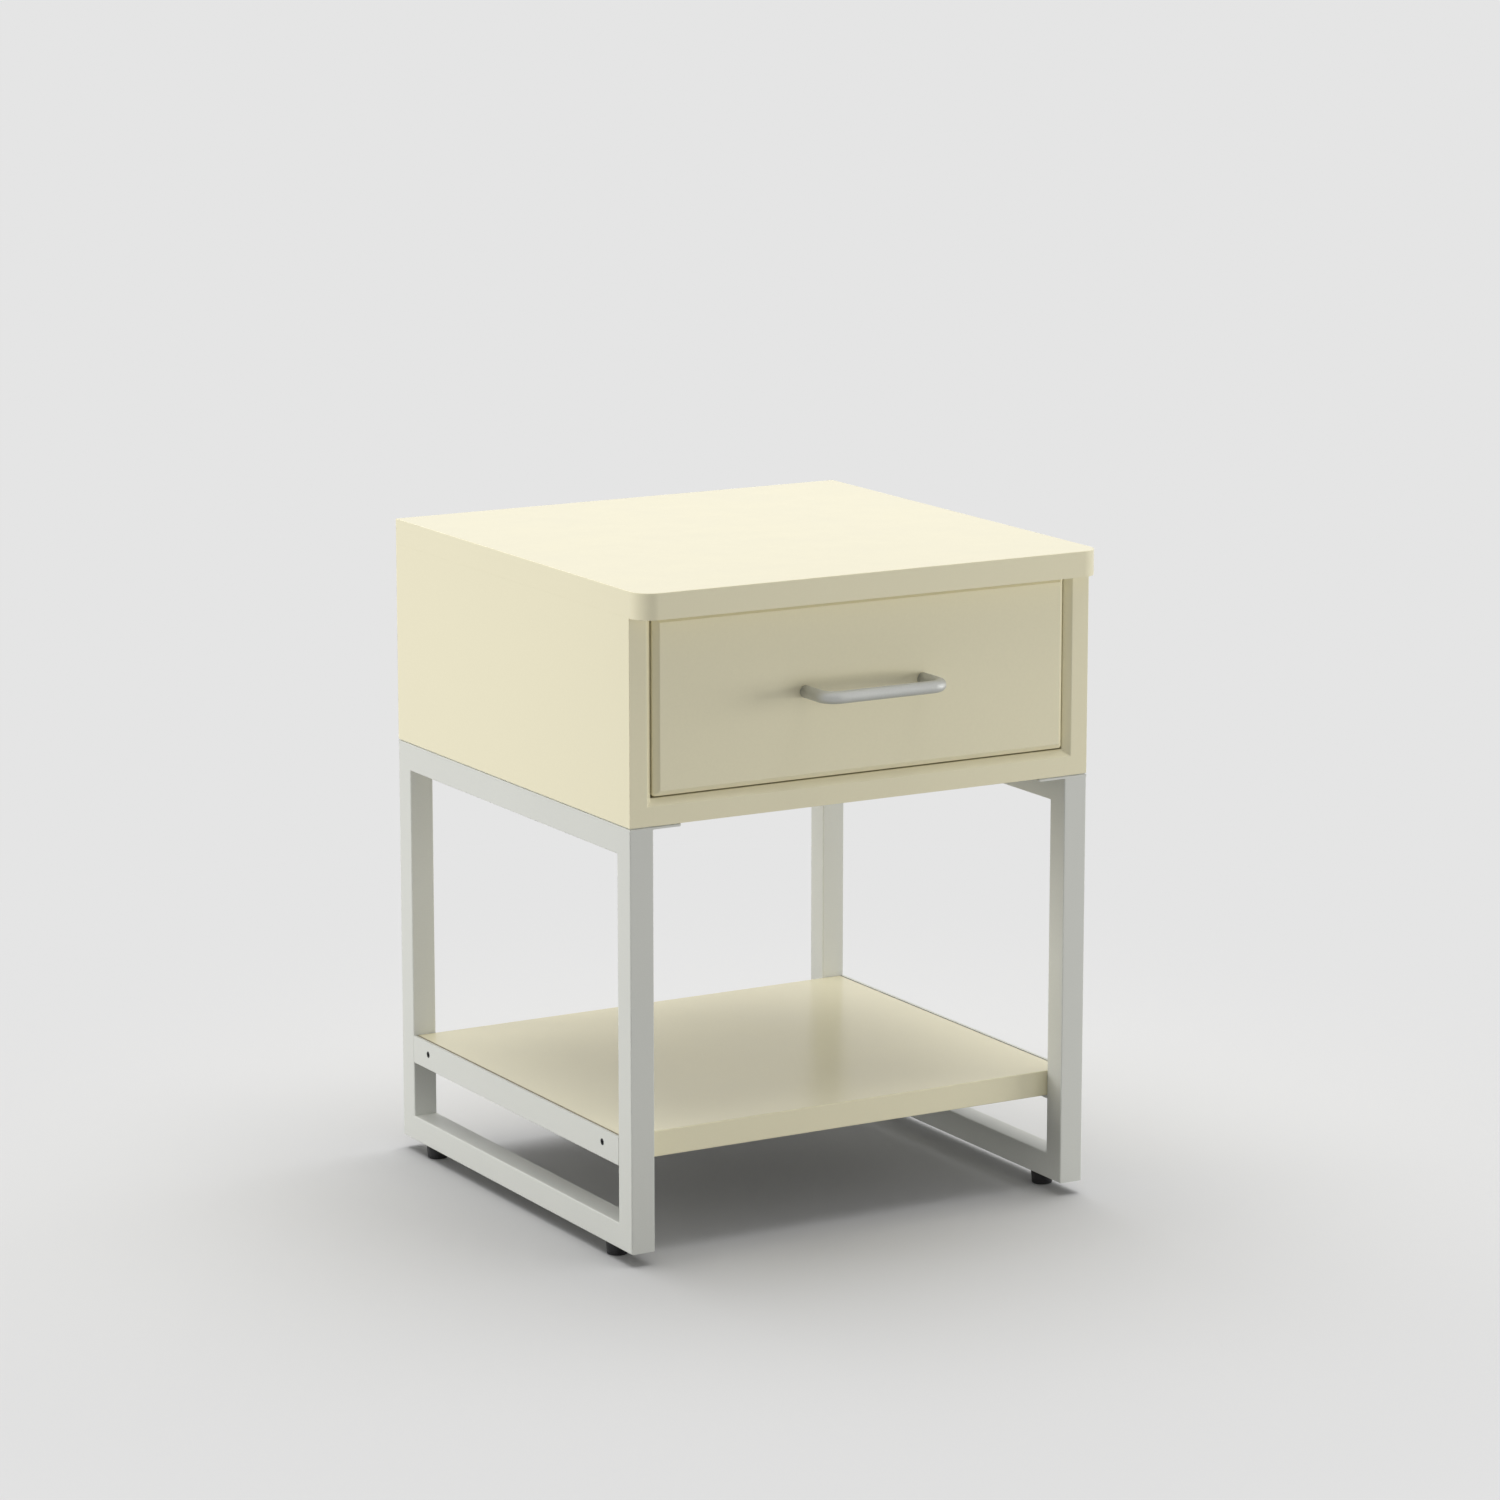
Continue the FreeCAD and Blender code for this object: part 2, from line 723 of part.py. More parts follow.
bar = doc.addObject("PartDesign::Body", "handle_bar")
path = sketch_on(bar, "XY_Plane", "handle_path")
reach, span, bend = value("handle_reach"), value("handle_centres / 2"), value("handle_bend")
left_post, grip, right_post = path.addGeometry([
    Part.LineSegment(Vector(-span, 0, 0), Vector(-span, bend - reach, 0)),
    Part.LineSegment(Vector(bend - span, -reach, 0), Vector(span - bend, -reach, 0)),
    Part.LineSegment(Vector(span, bend - reach, 0), Vector(span, 0, 0)),
])
left_circle = Part.Circle(Vector(bend - span, bend - reach, 0), Vector(0, 0, 1), bend)
right_circle = Part.Circle(Vector(span - bend, bend - reach, 0), Vector(0, 0, 1), bend)
left_bend, right_bend = path.addGeometry([
    Part.ArcOfCircle(left_circle, math.pi, 1.5 * math.pi),
    Part.ArcOfCircle(right_circle, 1.5 * math.pi, 2 * math.pi),
])
tie(path, "Tangent", left_post, 2, left_bend, 1)
tie(path, "Tangent", left_bend, 2, grip, 1)
tie(path, "Tangent", grip, 2, right_bend, 1)
tie(path, "Tangent", right_bend, 2, right_post, 1)
tie(path, "Vertical", left_post)
tie(path, "Horizontal", grip)
tie(path, "Vertical", right_post)
tie(path, "PointOnObject", left_post, 1, -1)
tie(path, "Symmetric", left_post, 1, right_post, 2, -2)
tie(path, "Equal", left_bend, right_bend)
hold(path, "handle_centres", "DistanceX", left_post, 1, right_post, 2)
hold(path, "handle_reach", "DistanceY", grip, 1, -1, 1)
hold(path, "handle_bend", "Radius", left_bend)
section = sketch_on(bar, "XZ_Plane", "handle_section")
ring = section.addGeometry(Part.Circle(Vector(-span, 0, 0), Vector(0, 0, 1), value("handle_radius")))
tie(section, "PointOnObject", ring, 3, -1)
hold(section, "handle_centres / 2", "DistanceX", ring, 3, -1, 1)
hold(section, "handle_radius", "Radius", ring)
pipe = bar.newObject("PartDesign::AdditivePipe", "handle_sweep")
pipe.Profile = section
pipe.Spine = (path, [])
place(bar, ("0", "front", "handle_level"))
taps = [cylinder("handle_screw_radius + screw_fit", "handle_screw_bite + tap_spare",
                 (signed(side, "handle_centres / 2"), "front", "handle_level"), "-Y", "tap")
        for _, side in sides]
node(cut(bar, taps), "handle")

# ---- side frames: four mitred tubes, a flange on top and an angle for the shelf

def tube(label, length, at, turn, holes=()):
    """Square tube from its outer face inwards (+Y), mitred at both ends (+Z)."""
    hollow = rectangle("tube - 2 * tube_wall", "tube - 2 * tube_wall", "tube_wall", "tube_wall")
    body, pad = prism(label + "_stock", [rectangle("tube", "tube"), hollow], length)
    limit = value("tube") - 0.01

    def outer(a, b):
        return upright(a, b) and all(c < 0.01 or c > limit for c in (a.x, a.y))
    round_edges(body, pad, outer, "tube_corner")
    ends = []
    for base, far, z in (("0", "tube", "-cut_margin"), (length, length + " - tube", length + " + cut_margin")):
        mitre = doc.addObject("Part::Wedge", "mitre")
        low, high = ("Zmin", "Z2min"), ("Zmax", "Z2max")
        fixed, slanted = (low, high) if base == "0" else (high, low)
        for prop in fixed:
            bind(mitre, prop, z)
        for prop, text in zip(slanted, (base, far)):
            bind(mitre, prop, text)
        for prop in ("Xmin", "X2min"):
            bind(mitre, prop, "-cut_margin")
        for prop in ("Xmax", "X2max"):
            bind(mitre, prop, "tube + cut_margin")
        bind(mitre, "Ymin", "0")
        bind(mitre, "Ymax", "tube")
        ends.append(mitre)
    mitred = cut(body, ends, label + "_mitred")
    place(mitred, at, turn)
    piece = cut(mitred, list(holes)) if holes else mitred
    return node(piece, label)


half_turn = Rotation(Vector(0, 0, 1), 180)
flange_screws, shelf_screws, weld_nuts, shelf_bores = [], [], [], []
for word, side in sides:
    low = "-half" if side < 0 else "half - tube"
    high = low + " + tube"
    feet = [(signed(side, "half - tube / 2"), y) for y in ("front + foot_inset", "back - foot_inset")]
    tube(word + "_front_leg", "frame_height", (low, "front", "frame_base"), Rotation())
    tube(word + "_rear_leg", "frame_height", (high, "back", "frame_base"), half_turn)
    tube(word + "_top_rail", "case_depth", (low, "front", "frame_top"), turns["+Y"])
    spigots = [cylinder("spigot_radius + thread_fit", "tube_wall + 2 * cut_margin",
                        (x, y, "frame_base - cut_margin")) for x, y in feet]
    tube(word + "_bottom_rail", "case_depth", (low, "back", "frame_base"), turns["-Y"], spigots)

    for x, y in feet:
        body = turned(word + "_weld_nut", [
            ("stem_radius + thread_fit", "0"), ("spigot_radius", "0"), ("spigot_radius", "tube_wall"),
            ("nut_radius", "tube_wall"), ("nut_radius", "tube_wall + nut_height"),
            ("stem_radius + thread_fit", "tube_wall + nut_height")])
        weld_nuts.append(place(body, (x, y, "frame_base")))

    flange_body, flange_pad = prism(word + "_flange_stock", [rectangle("flange_width", "case_depth")],
                                    "flange_thickness")
    inner_edge = 0 if side > 0 else value("flange_width")
    round_edges(flange_body, flange_pad,
                lambda a, b, x=inner_edge: upright(a, b) and abs(a.x - x) < 0.01, "flange_corner")
    place(flange_body, ("-half" if side < 0 else "half - flange_width", "front", "frame_top"))
    holes = []
    for at in flange_screw_places:
        if at[0].startswith("-") == (side < 0):
            holes.append(pan_hole(at, "+Z", "flange_thickness"))
    node(cut(flange_body, holes), word + "_mounting_flange")

    upright_leg = side_box(side, "half - angle_thickness", "half", "legs_front", "legs_back - legs_front",
                           "angle_base", "shelf_top - angle_base")
    level_leg = side_box(side, "half - tube", "half", "legs_front", "legs_back - legs_front",
                         "angle_base", "angle_thickness")
    holes = []
    for y in ("legs_front + shelf_screw_inset", "legs_back - shelf_screw_inset"):
        at = (signed(side, "half"), y, "shelf_base + shelf_thickness / 2")
        shelf_screws.append(flush_screw(at, inward(side), "shelf_screw"))
        holes.append(flush_hole(at, inward(side), "shelf_screw"))
        shelf_bores.append(flush_hole(at, inward(side), "shelf_screw"))
    node(cut(fuse([upright_leg, level_leg]), holes), word + "_shelf_angle")
group([pan_screw(at, "+Z", "flange_screw") for at in flange_screw_places], "flange_screws")
group(weld_nuts, "foot_weld_nuts")

shelf = box(("2 * shelf_side", "legs_back - legs_front - 2 * shelf_fit", "shelf_thickness"),
            ("-shelf_side", "legs_front + shelf_fit", "shelf_base"), "shelf_blank")
node(cut(shelf, shelf_bores), "shelf")
group(shelf_screws, "shelf_screws")

# ---- levelling feet: a pad that stays level and a stem that turns in it and in the weld nut

for place_word, y in (("front", "front + foot_inset"), ("rear", "back - foot_inset")):
    for word, side in sides:
        label = "%s_%s_foot" % (place_word, word)
        at = (signed(side, "half - tube / 2"), y, "0")
        pad = turned(label + "_pad_body", [
            ("0", "0"), ("pad_base_radius - pad_edge", "0"), ("pad_base_radius", "pad_edge"),
            ("pad_top_radius", "pad_top"), ("stem_radius + foot_fit", "pad_top"),
            ("stem_radius + foot_fit", "stem_shoulder + thread_fit"),
            ("head_room", "stem_shoulder + thread_fit"), ("head_room", "pad_floor"), ("0", "pad_floor")])
        node(place(pad, at), label + "_pad")
        stem = turned(label + "_stem_body", [
            ("0", "stem_base"), ("stem_head_radius", "stem_base"), ("stem_head_radius", "stem_shoulder"),
            ("stem_radius", "stem_shoulder"), ("stem_radius", "stem_top - stem_tip"),
            ("stem_radius - stem_tip", "stem_top"), ("0", "stem_top")])
        node(place(stem, at), label + "_stem")

# ---- check and write

doc.recompute()
for obj in doc.Objects:
    if "Invalid" in obj.State or "Error" in obj.State:
        raise RuntimeError("%s did not build: %s" % (obj.Label, obj.State))
for obj in nodes:
    if obj.Shape.isNull() or not obj.Shape.isValid():
        raise RuntimeError("%s has no valid shape" % obj.Label)

os.makedirs("parts", exist_ok=True)
for obj in nodes:
    obj.Shape.exportStep("parts/%s.step" % obj.Label)
print("%d nodes" % len(nodes))
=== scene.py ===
import math
import bmesh
import bpy
from mathutils import Matrix, Vector


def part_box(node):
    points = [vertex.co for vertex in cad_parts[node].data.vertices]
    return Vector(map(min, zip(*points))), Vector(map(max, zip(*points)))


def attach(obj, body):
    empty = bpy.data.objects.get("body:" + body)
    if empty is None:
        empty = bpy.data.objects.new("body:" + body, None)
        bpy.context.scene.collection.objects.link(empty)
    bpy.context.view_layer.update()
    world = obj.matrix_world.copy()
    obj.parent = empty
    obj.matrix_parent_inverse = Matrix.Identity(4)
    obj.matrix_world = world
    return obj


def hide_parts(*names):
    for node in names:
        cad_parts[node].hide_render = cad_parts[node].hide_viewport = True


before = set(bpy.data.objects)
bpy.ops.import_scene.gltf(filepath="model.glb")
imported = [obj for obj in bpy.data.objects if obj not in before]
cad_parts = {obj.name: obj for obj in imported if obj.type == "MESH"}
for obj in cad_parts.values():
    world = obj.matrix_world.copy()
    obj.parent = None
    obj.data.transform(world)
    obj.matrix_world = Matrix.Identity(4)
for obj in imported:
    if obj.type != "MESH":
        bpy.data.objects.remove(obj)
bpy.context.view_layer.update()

# Bedside cabinet: laminated one-drawer case on two welded tube frames, with a shelf and four feet.
# Lengths in the dictionaries are millimetres unless a note says otherwise.
mm = 0.001
sides = (("left", -1), ("right", 1))

# ---------- camera, lights and floor

view = {"place": (-2.526, -4.3927, 1.4745), "heading": 29.91, "down": 11.66, "lens": 127.76}   # metres, degrees

cameraData = bpy.data.cameras.new("camera")
cameraData.lens = view["lens"]
cameraData.clip_end = 200
camera = bpy.data.objects.new("camera", cameraData)
camera.location = view["place"]
camera.rotation_euler = (math.radians(90 - view["down"]), 0, -math.radians(view["heading"]))
bpy.context.scene.collection.objects.link(camera)
bpy.context.scene.camera = camera
bpy.context.scene.view_settings.view_transform = "Standard"

stage = {
    "backdrop": 0.783,        # level of the plain grey behind everything
    "ambient": 0.29,          # even light from all round
    "floorColour": 0.80, "floorBounce": 0.5,   # as seen, and as it throws light back
    "floorRadius": 60.0,      # metres
    "clearFrom": 0.45, "clearTo": 1.5,   # metres from the middle: the lit floor turns into the backdrop
}

# name, place, target, width, depth (metres), watts, what it lights
lamps = [
    ("overheadBox", (0.36, 0.58, 4.2), (0, 0.1, 0.3), 4.4, 3.7, 162.0, "all"),
    ("leftBox", (-2.6, 0.5, 0.7), (0, 0, 0.5), 1.4, 0.9, 35.0, "offFloor"),
    ("rightBox", (3.15, -1.75, 0.55), (0, 0, 0.45), 1.7, 1.0, 45.5, "offFloor"),
    ("frontBox", (1.3, -3.4, 0.2), (0, 0, 0.45), 2.0, 0.7, 18.0, "offFloor"),
    ("overheadGlint", (0.36, 0.58, 4.2), (0, 0.1, 0.3), 4.4, 3.7, 162.0, "metals"),
    ("rightGlint", (3.15, -1.75, 0.55), (0, 0, 0.45), 1.7, 1.0, 45.5, "metals"),
]
receivers = {word: bpy.data.collections.new(word) for word in ("offFloor", "metals")}


def linked(obj):
    bpy.context.scene.collection.objects.link(obj)
    return obj


def add(tree, kind, ins=None, **props):
    node = tree.nodes.new(kind)
    for key, setting in props.items():
        setattr(node, key, setting)
    for key, source in (ins or {}).items():
        if isinstance(source, bpy.types.NodeSocket):
            tree.links.new(source, node.inputs[key])
        else:
            node.inputs[key].default_value = source
    return node


def combine(tree, operation, a, b):
    return add(tree, "ShaderNodeMath", {0: a, 1: b}, operation=operation).outputs[0]


def seenDirectly(tree):
    # camera, mirror and glass rays, which show the backdrop
    path = add(tree, "ShaderNodeLightPath")
    seen = combine(tree, "MAXIMUM", path.outputs["Is Camera Ray"], path.outputs["Is Glossy Ray"])
    return combine(tree, "MAXIMUM", seen, path.outputs["Is Transmission Ray"])


def buildStage():
    world = bpy.data.worlds.new("studio")
    world.use_nodes = True
    tree = world.node_tree
    tree.nodes.clear()
    white = (1, 1, 1, 1)
    around = add(tree, "ShaderNodeBackground", {"Color": white, "Strength": stage["ambient"]})
    shown = add(tree, "ShaderNodeBackground", {"Color": white, "Strength": stage["backdrop"]})
    mixed = add(tree, "ShaderNodeMixShader", {0: seenDirectly(tree), 1: around.outputs[0], 2: shown.outputs[0]})
    add(tree, "ShaderNodeOutputWorld", {"Surface": mixed.outputs[0]})
    bpy.context.scene.world = world

    for name, place, target, width, depth, watts, lit in lamps:
        light = bpy.data.lights.new(name, "AREA")
        light.shape = "RECTANGLE"
        light.size, light.size_y, light.energy = width, depth, watts
        lamp = bpy.data.objects.new(name, light)
        lamp.location = place
        lamp.rotation_euler = (Vector(target) - Vector(place)).to_track_quat("-Z", "Y").to_euler()
        # boards and paint mirror the plain backdrop; only bare metal shows the lamps
        lamp.visible_glossy = lit == "metals"
        lamp.visible_diffuse = lit != "metals"
        linked(lamp)
        if lit != "all":
            lamp.light_linking.receiver_collection = receivers[lit]

    bm = bmesh.new()
    bmesh.ops.create_circle(bm, cap_ends=True, segments=96, radius=stage["floorRadius"])
    mesh = bpy.data.meshes.new("floor")
    bm.to_mesh(mesh)
    bm.free()
    floor = linked(bpy.data.objects.new("floor", mesh))
    paper = bpy.data.materials.new("studioFloor")
    paper.use_nodes = True
    tree = paper.node_tree
    tree.nodes.clear()
    where = add(tree, "ShaderNodeTexCoord").outputs["Object"]
    away = add(tree, "ShaderNodeVectorMath", {0: where}, operation="LENGTH").outputs["Value"]
    clear = add(tree, "ShaderNodeMapRange", {"Value": away, "From Min": stage["clearFrom"],
                "From Max": stage["clearTo"]}, interpolation_type="SMOOTHERSTEP").outputs[0]
    shade = add(tree, "ShaderNodeMapRange", {"Value": seenDirectly(tree), "To Min": stage["floorBounce"],
                "To Max": stage["floorColour"]}).outputs[0]
    lit = add(tree, "ShaderNodeBsdfDiffuse", {"Color": shade})
    plain = add(tree, "ShaderNodeEmission", {"Color": white, "Strength": stage["backdrop"]})
    factor = combine(tree, "MULTIPLY", clear, seenDirectly(tree))
    mixed = add(tree, "ShaderNodeMixShader", {0: factor, 1: lit.outputs[0], 2: plain.outputs[0]})
    add(tree, "ShaderNodeOutputMaterial", {"Surface": mixed.outputs[0]})
    mesh.materials.append(paper)
    receivers["offFloor"].objects.link(floor)
    receivers["offFloor"].collection_objects[0].light_linking.link_state = "EXCLUDE"
    print("stage built")


buildStage()

# ---------- finishes


def linear(red, green, blue):
    def one(level):
        level /= 255
        return level / 12.92 if level <= 0.04045 else ((level + 0.055) / 1.055) ** 2.4
    return (one(red), one(green), one(blue), 1)


def scaled(colour, factor):
    return tuple(min(1, c * factor) for c in colour[:3]) + (1,)


def startFinish(name, **shaderValues):
    material = bpy.data.materials.new(name)
    material.use_nodes = True
    tree = material.node_tree
    tree.nodes.clear()
    shader = add(tree, "ShaderNodeBsdfPrincipled", {k.replace("_", " "): v for k, v in shaderValues.items()})
    add(tree, "ShaderNodeOutputMaterial", {"Surface": shader.outputs[0]})
    return material, tree, shader


def wire(tree, shader, colour, roughness, normal):
    for name, source in (("Base Color", colour), ("Roughness", roughness), ("Normal", normal)):
        tree.links.new(source, shader.inputs[name])


def position(tree, stretch=(1, 1, 1), source="Object"):
    where = add(tree, "ShaderNodeTexCoord").outputs[source]
    return add(tree, "ShaderNodeMapping", {"Vector": where, "Scale": stretch}).outputs[0]


def noise(tree, where, scale, detail=2.0, rough=0.5, warp=0.0):
    return add(tree, "ShaderNodeTexNoise", {"Vector": where, "Scale": scale, "Detail": detail,
               "Roughness": rough, "Distortion": warp}).outputs[0]


def between(tree, value, low, high, fromLow=0.3, fromHigh=0.7):
    return add(tree, "ShaderNodeMapRange", {"Value": value, "From Min": fromLow, "From Max": fromHigh,
               "To Min": low, "To Max": high}).outputs[0]


def blendColour(tree, factor, first, second, mode="MIX"):
    return add(tree, "ShaderNodeMix", {0: factor, 6: first, 7: second}, data_type="RGBA",
               blend_type=mode).outputs[2]


def bump(tree, height, depth, strength=1.0, under=None):
    ins = {"Height": height, "Distance": depth, "Strength": strength}
    if under is not None:
        ins["Normal"] = under
    return add(tree, "ShaderNodeBump", ins).outputs[0]


def tint(tree, where, colour, cloudScale, cloud, fleckScale, fleck):
    # base colour with a slow drift and a fine fleck, both given as a share of the colour
    slow = noise(tree, where, cloudScale, 2)
    fine = noise(tree, where, fleckScale, 3, 0.65)
    base = blendColour(tree, between(tree, slow, 0, 1), scaled(colour, 1 - cloud), scaled(colour, 1 + cloud))
    grain = between(tree, fine, 1 - fleck, 1 + fleck)
    return blendColour(tree, 1.0, base, grain, "MULTIPLY")


def laminate(name, colour, roughness, pearl, pearlDepth, fleck):
    # melamine face: fine pearl embossing over a paper print with hardly any figure
    material, tree, shader = startFinish(name, IOR=1.5)
    where = position(tree)
    smudge = noise(tree, where, 14, 3, 0.6)
    cells = add(tree, "ShaderNodeTexVoronoi", {"Vector": where, "Scale": pearl, "Randomness": 1.0},
                feature="SMOOTH_F1").outputs["Distance"]
    broad = bump(tree, noise(tree, where, 11, 1), 0.00004, 0.12)
    wire(tree, shader, tint(tree, where, colour, 2.1, 0.008, 420, fleck),
         between(tree, smudge, roughness - 0.02, roughness + 0.02), bump(tree, cells, pearlDepth, 0.5, broad))
    return material


def powderCoat(name, colour, roughness, peel, peelDepth):
    # baked powder: orange peel, a slightly uneven film and tiny pits
    material, tree, shader = startFinish(name, IOR=1.48)
    where = position(tree)
    film = noise(tree, where, 22, 2)
    waves = bump(tree, noise(tree, where, peel, 2, 0.45), peelDepth, 0.6)
    pits = noise(tree, where, peel * 3.7, 1)
    wire(tree, shader, tint(tree, where, colour, 5, 0.012, 900, 0.02),
         between(tree, film, roughness - 0.04, roughness + 0.05), bump(tree, pits, peelDepth * 0.3, 0.4, waves))
    return material


def satinBar(name, colour):
    # polished round the bar: the lines run across its length, which UV X follows
    material, tree, shader = startFinish(name, Metallic=0.8)
    where = position(tree, source="UV")
    lines = noise(tree, position(tree, (2600, 6, 1), "UV"), 1, 3, 0.7)
    worn = between(tree, noise(tree, where, 38, 2), 0.50, 0.57)
    fine = between(tree, lines, -0.05, 0.05)
    wire(tree, shader, tint(tree, position(tree), colour, 16, 0.03, 700, 0.03),
         combine(tree, "ADD", worn, fine), bump(tree, lines, 0.000012, 0.5))
    return material


def plated(name, colour, roughness, spangle):
    # plating with faint crystal patches
    material, tree, shader = startFinish(name, Metallic=1.0)
    where = position(tree)
    patches = add(tree, "ShaderNodeTexVoronoi", {"Vector": where, "Scale": spangle}).outputs["Color"]
    level = add(tree, "ShaderNodeSeparateColor", {0: patches}).outputs[0]
    base = blendColour(tree, between(tree, level, 0, 1, 0, 1), scaled(colour, 0.93), scaled(colour, 1.05))
    wire(tree, shader, base, between(tree, noise(tree, where, 320, 3), roughness - 0.06, roughness + 0.08),
         bump(tree, noise(tree, where, 1600, 2), 0.00001, 0.4))
    return material


def moulded(name, colour, roughness, grain, grainDepth, subsurface=0.0, specular=0.5):
    # spark-eroded mould texture
    material, tree, shader = startFinish(name, IOR=1.5, Specular_IOR_Level=specular)
    shader.inputs["Subsurface Weight"].default_value = subsurface
    shader.inputs["Subsurface Radius"].default_value = (0.004, 0.003, 0.002)
    where = position(tree)
    wire(tree, shader, tint(tree, where, colour, 30, 0.05, 1300, 0.06),
         between(tree, noise(tree, where, 180, 3), roughness - 0.05, roughness + 0.07),
         bump(tree, noise(tree, where, grain, 3, 0.7), grainDepth, 0.7))
    return material


def wood(name, dark, light, along):
    # straight grain along one axis with short pores
    material, tree, shader = startFinish(name, IOR=1.45)
    stretch = [60, 60, 60]
    stretch[along] = 5
    figure = noise(tree, position(tree, tuple(stretch)), 4, 4, 0.6, 0.8)
    pores = noise(tree, position(tree, tuple(s * 9 for s in stretch)), 5, 2, 0.6)
    base = blendColour(tree, between(tree, figure, 0, 1), dark, light)
    wire(tree, shader, blendColour(tree, 1.0, base, between(tree, pores, 0.84, 1.04), "MULTIPLY"),
         between(tree, figure, 0.5, 0.62), bump(tree, pores, 0.00008, 0.5))
    return material


cream = linear(238, 231, 199)
creamLaminate = laminate("creamLaminate", cream, 0.22, 1100, 0.000008, 0.010)
creamBand = laminate("creamEdgeBand", cream, 0.22, 1500, 0.000004, 0.006)
lining = laminate("drawerLining", linear(236, 235, 228), 0.38, 1500, 0.000006, 0.012)
backing = laminate("backingSheet", linear(222, 221, 216), 0.40, 900, 0.000008, 0.014)
# dark colour for the shelf's ends: painted shade that stands for the shadow in the narrow gap beside each shelf angle
shelfEndShade = laminate("rawBoardEdge", linear(160, 150, 128), 0.60, 500, 0.00004, 0.2)
liningBand = laminate("drawerLiningBand", linear(233, 232, 225), 0.35, 1900, 0.000004, 0.006)
framePaint = powderCoat("lightGreyPowder", linear(216, 217, 210), 0.38, 420, 0.000012)
runnerPaint = powderCoat("whiteRunnerPowder", linear(238, 236, 228), 0.34, 520, 0.00001)
satinSteel = satinBar("satinSteel", linear(186, 187, 183))
zinc = plated("zincPlate", linear(198, 203, 208), 0.34, 900)
blackScrew = moulded("blackenedSteel", linear(18, 18, 19), 0.52, 2200, 0.00001, specular=0.25)
nylon = moulded("whiteNylon", linear(238, 236, 228), 0.40, 1700, 0.00001, 0.25)
footPlastic = moulded("blackFootPlastic", linear(30, 30, 31), 0.48, 2400, 0.00002)
beech = wood("beechDowel", linear(196, 160, 118), linear(226, 196, 154), 0)
# slot, face and edge band of the two kinds of board
laminated = ("laminate", creamLaminate, creamBand)
lined = ("drawer_lining", lining, liningBand)
print("finishes built")

# ---------- mesh helpers


def makeObject(name, bm):
    bmesh.ops.remove_doubles(bm, verts=bm.verts, dist=1e-7)
    bmesh.ops.recalc_face_normals(bm, faces=bm.faces)
    mesh = bpy.data.meshes.new(name)
    bm.to_mesh(mesh)
    bm.free()
    return linked(bpy.data.objects.new(name, mesh))


def bridge(bm, first, second):
    count = len(first)
    for i in range(count):
        j = (i + 1) % count
        corners = list(dict.fromkeys((first[i], first[j], second[j], second[i])))
        if len(corners) > 2:
            bm.faces.new(corners)


def loft(outlines, bm=None):
    # closed rings of points, joined one to the next and capped at both ends
    bm = bm or bmesh.new()
    rings = [[bm.verts.new(point) for point in outline] for outline in outlines]
    for first, second in zip(rings, rings[1:]):
        bridge(bm, first, second)
    bm.faces.new(rings[0])
    bm.faces.new(rings[-1])
    return bm


def prism(outline, axis, low, high):
    # solid between two planes across an axis; outline in the two other axes, in alphabetical order
    order = {"x": lambda u, v, w: (w, u, v), "y": lambda u, v, w: (u, w, v), "z": lambda u, v, w: (u, v, w)}[axis]
    return loft([[order(u, v, w) for u, v in outline] for w in (low, high)])


def rounded(corners, steps=8):
    # outline from (x, y, radius) corners
    points = []
    for i, (x, y, radius) in enumerate(corners):
        here = Vector((x, y))
        before = (Vector(corners[i - 1][:2]) - here).normalized()
        after = (Vector(corners[(i + 1) % len(corners)][:2]) - here).normalized()
        if radius <= 0:
            points.append(tuple(here))
            continue
        half = before.angle(after) / 2
        centre = here + (before + after).normalized() * radius / math.sin(half)
        start = here + before * radius / math.tan(half) - centre
        end = here + after * radius / math.tan(half) - centre
        turn = start.angle_signed(end)
        for step in range(steps + 1):
            arm = start.copy()
            arm.rotate(Matrix.Rotation(-turn * step / steps, 2))
            points.append(tuple(centre + arm))
    return points


def circle(radius, count, shift=0.0):
    angles = [math.tau * (i + shift) / count for i in range(count)]
    return [(radius * math.cos(a), radius * math.sin(a)) for a in angles]


def rectangle(x0, y0, x1, y1, radius=0.0):
    return [(x0, y0, radius), (x1, y0, radius), (x1, y1, radius), (x0, y1, radius)]


def block(low, high):
    return prism([(low[0], low[1]), (high[0], low[1]), (high[0], high[1]), (low[0], high[1])], "z", low[2], high[2])


def baked(obj):
    # modifiers turned into the mesh itself
    bpy.context.view_layer.update()
    mesh = bpy.data.meshes.new_from_object(obj.evaluated_get(bpy.context.evaluated_depsgraph_get()))
    obj.modifiers.clear()
    old = obj.data
    obj.data = mesh
    mesh.name = obj.name
    bpy.data.meshes.remove(old)
    return obj


def carve(obj, *cutters):
    for bm in cutters:
        tool = makeObject("cutter", bm)
        cut = obj.modifiers.new("cut", "BOOLEAN")
        cut.object, cut.solver, cut.operation = tool, "EXACT", "DIFFERENCE"
        baked(obj)
        bpy.data.objects.remove(tool)
    return obj


def dropSlivers(obj):
    # clears doubled corners and faces, and faces with no area, left where roundings meet
    bm = bmesh.new()
    bm.from_mesh(obj.data)
    bmesh.ops.remove_doubles(bm, verts=bm.verts, dist=1e-6)
    bmesh.ops.dissolve_degenerate(bm, dist=1e-7, edges=bm.edges)
    byCorners = {}
    for face in bm.faces:
        byCorners.setdefault(frozenset(face.verts), []).append(face)
    doubled = [face for faces in byCorners.values() if len(faces) > 1 for face in faces]
    bmesh.ops.delete(bm, geom=doubled, context="FACES")
    bm.to_mesh(obj.data)
    bm.free()
    return obj


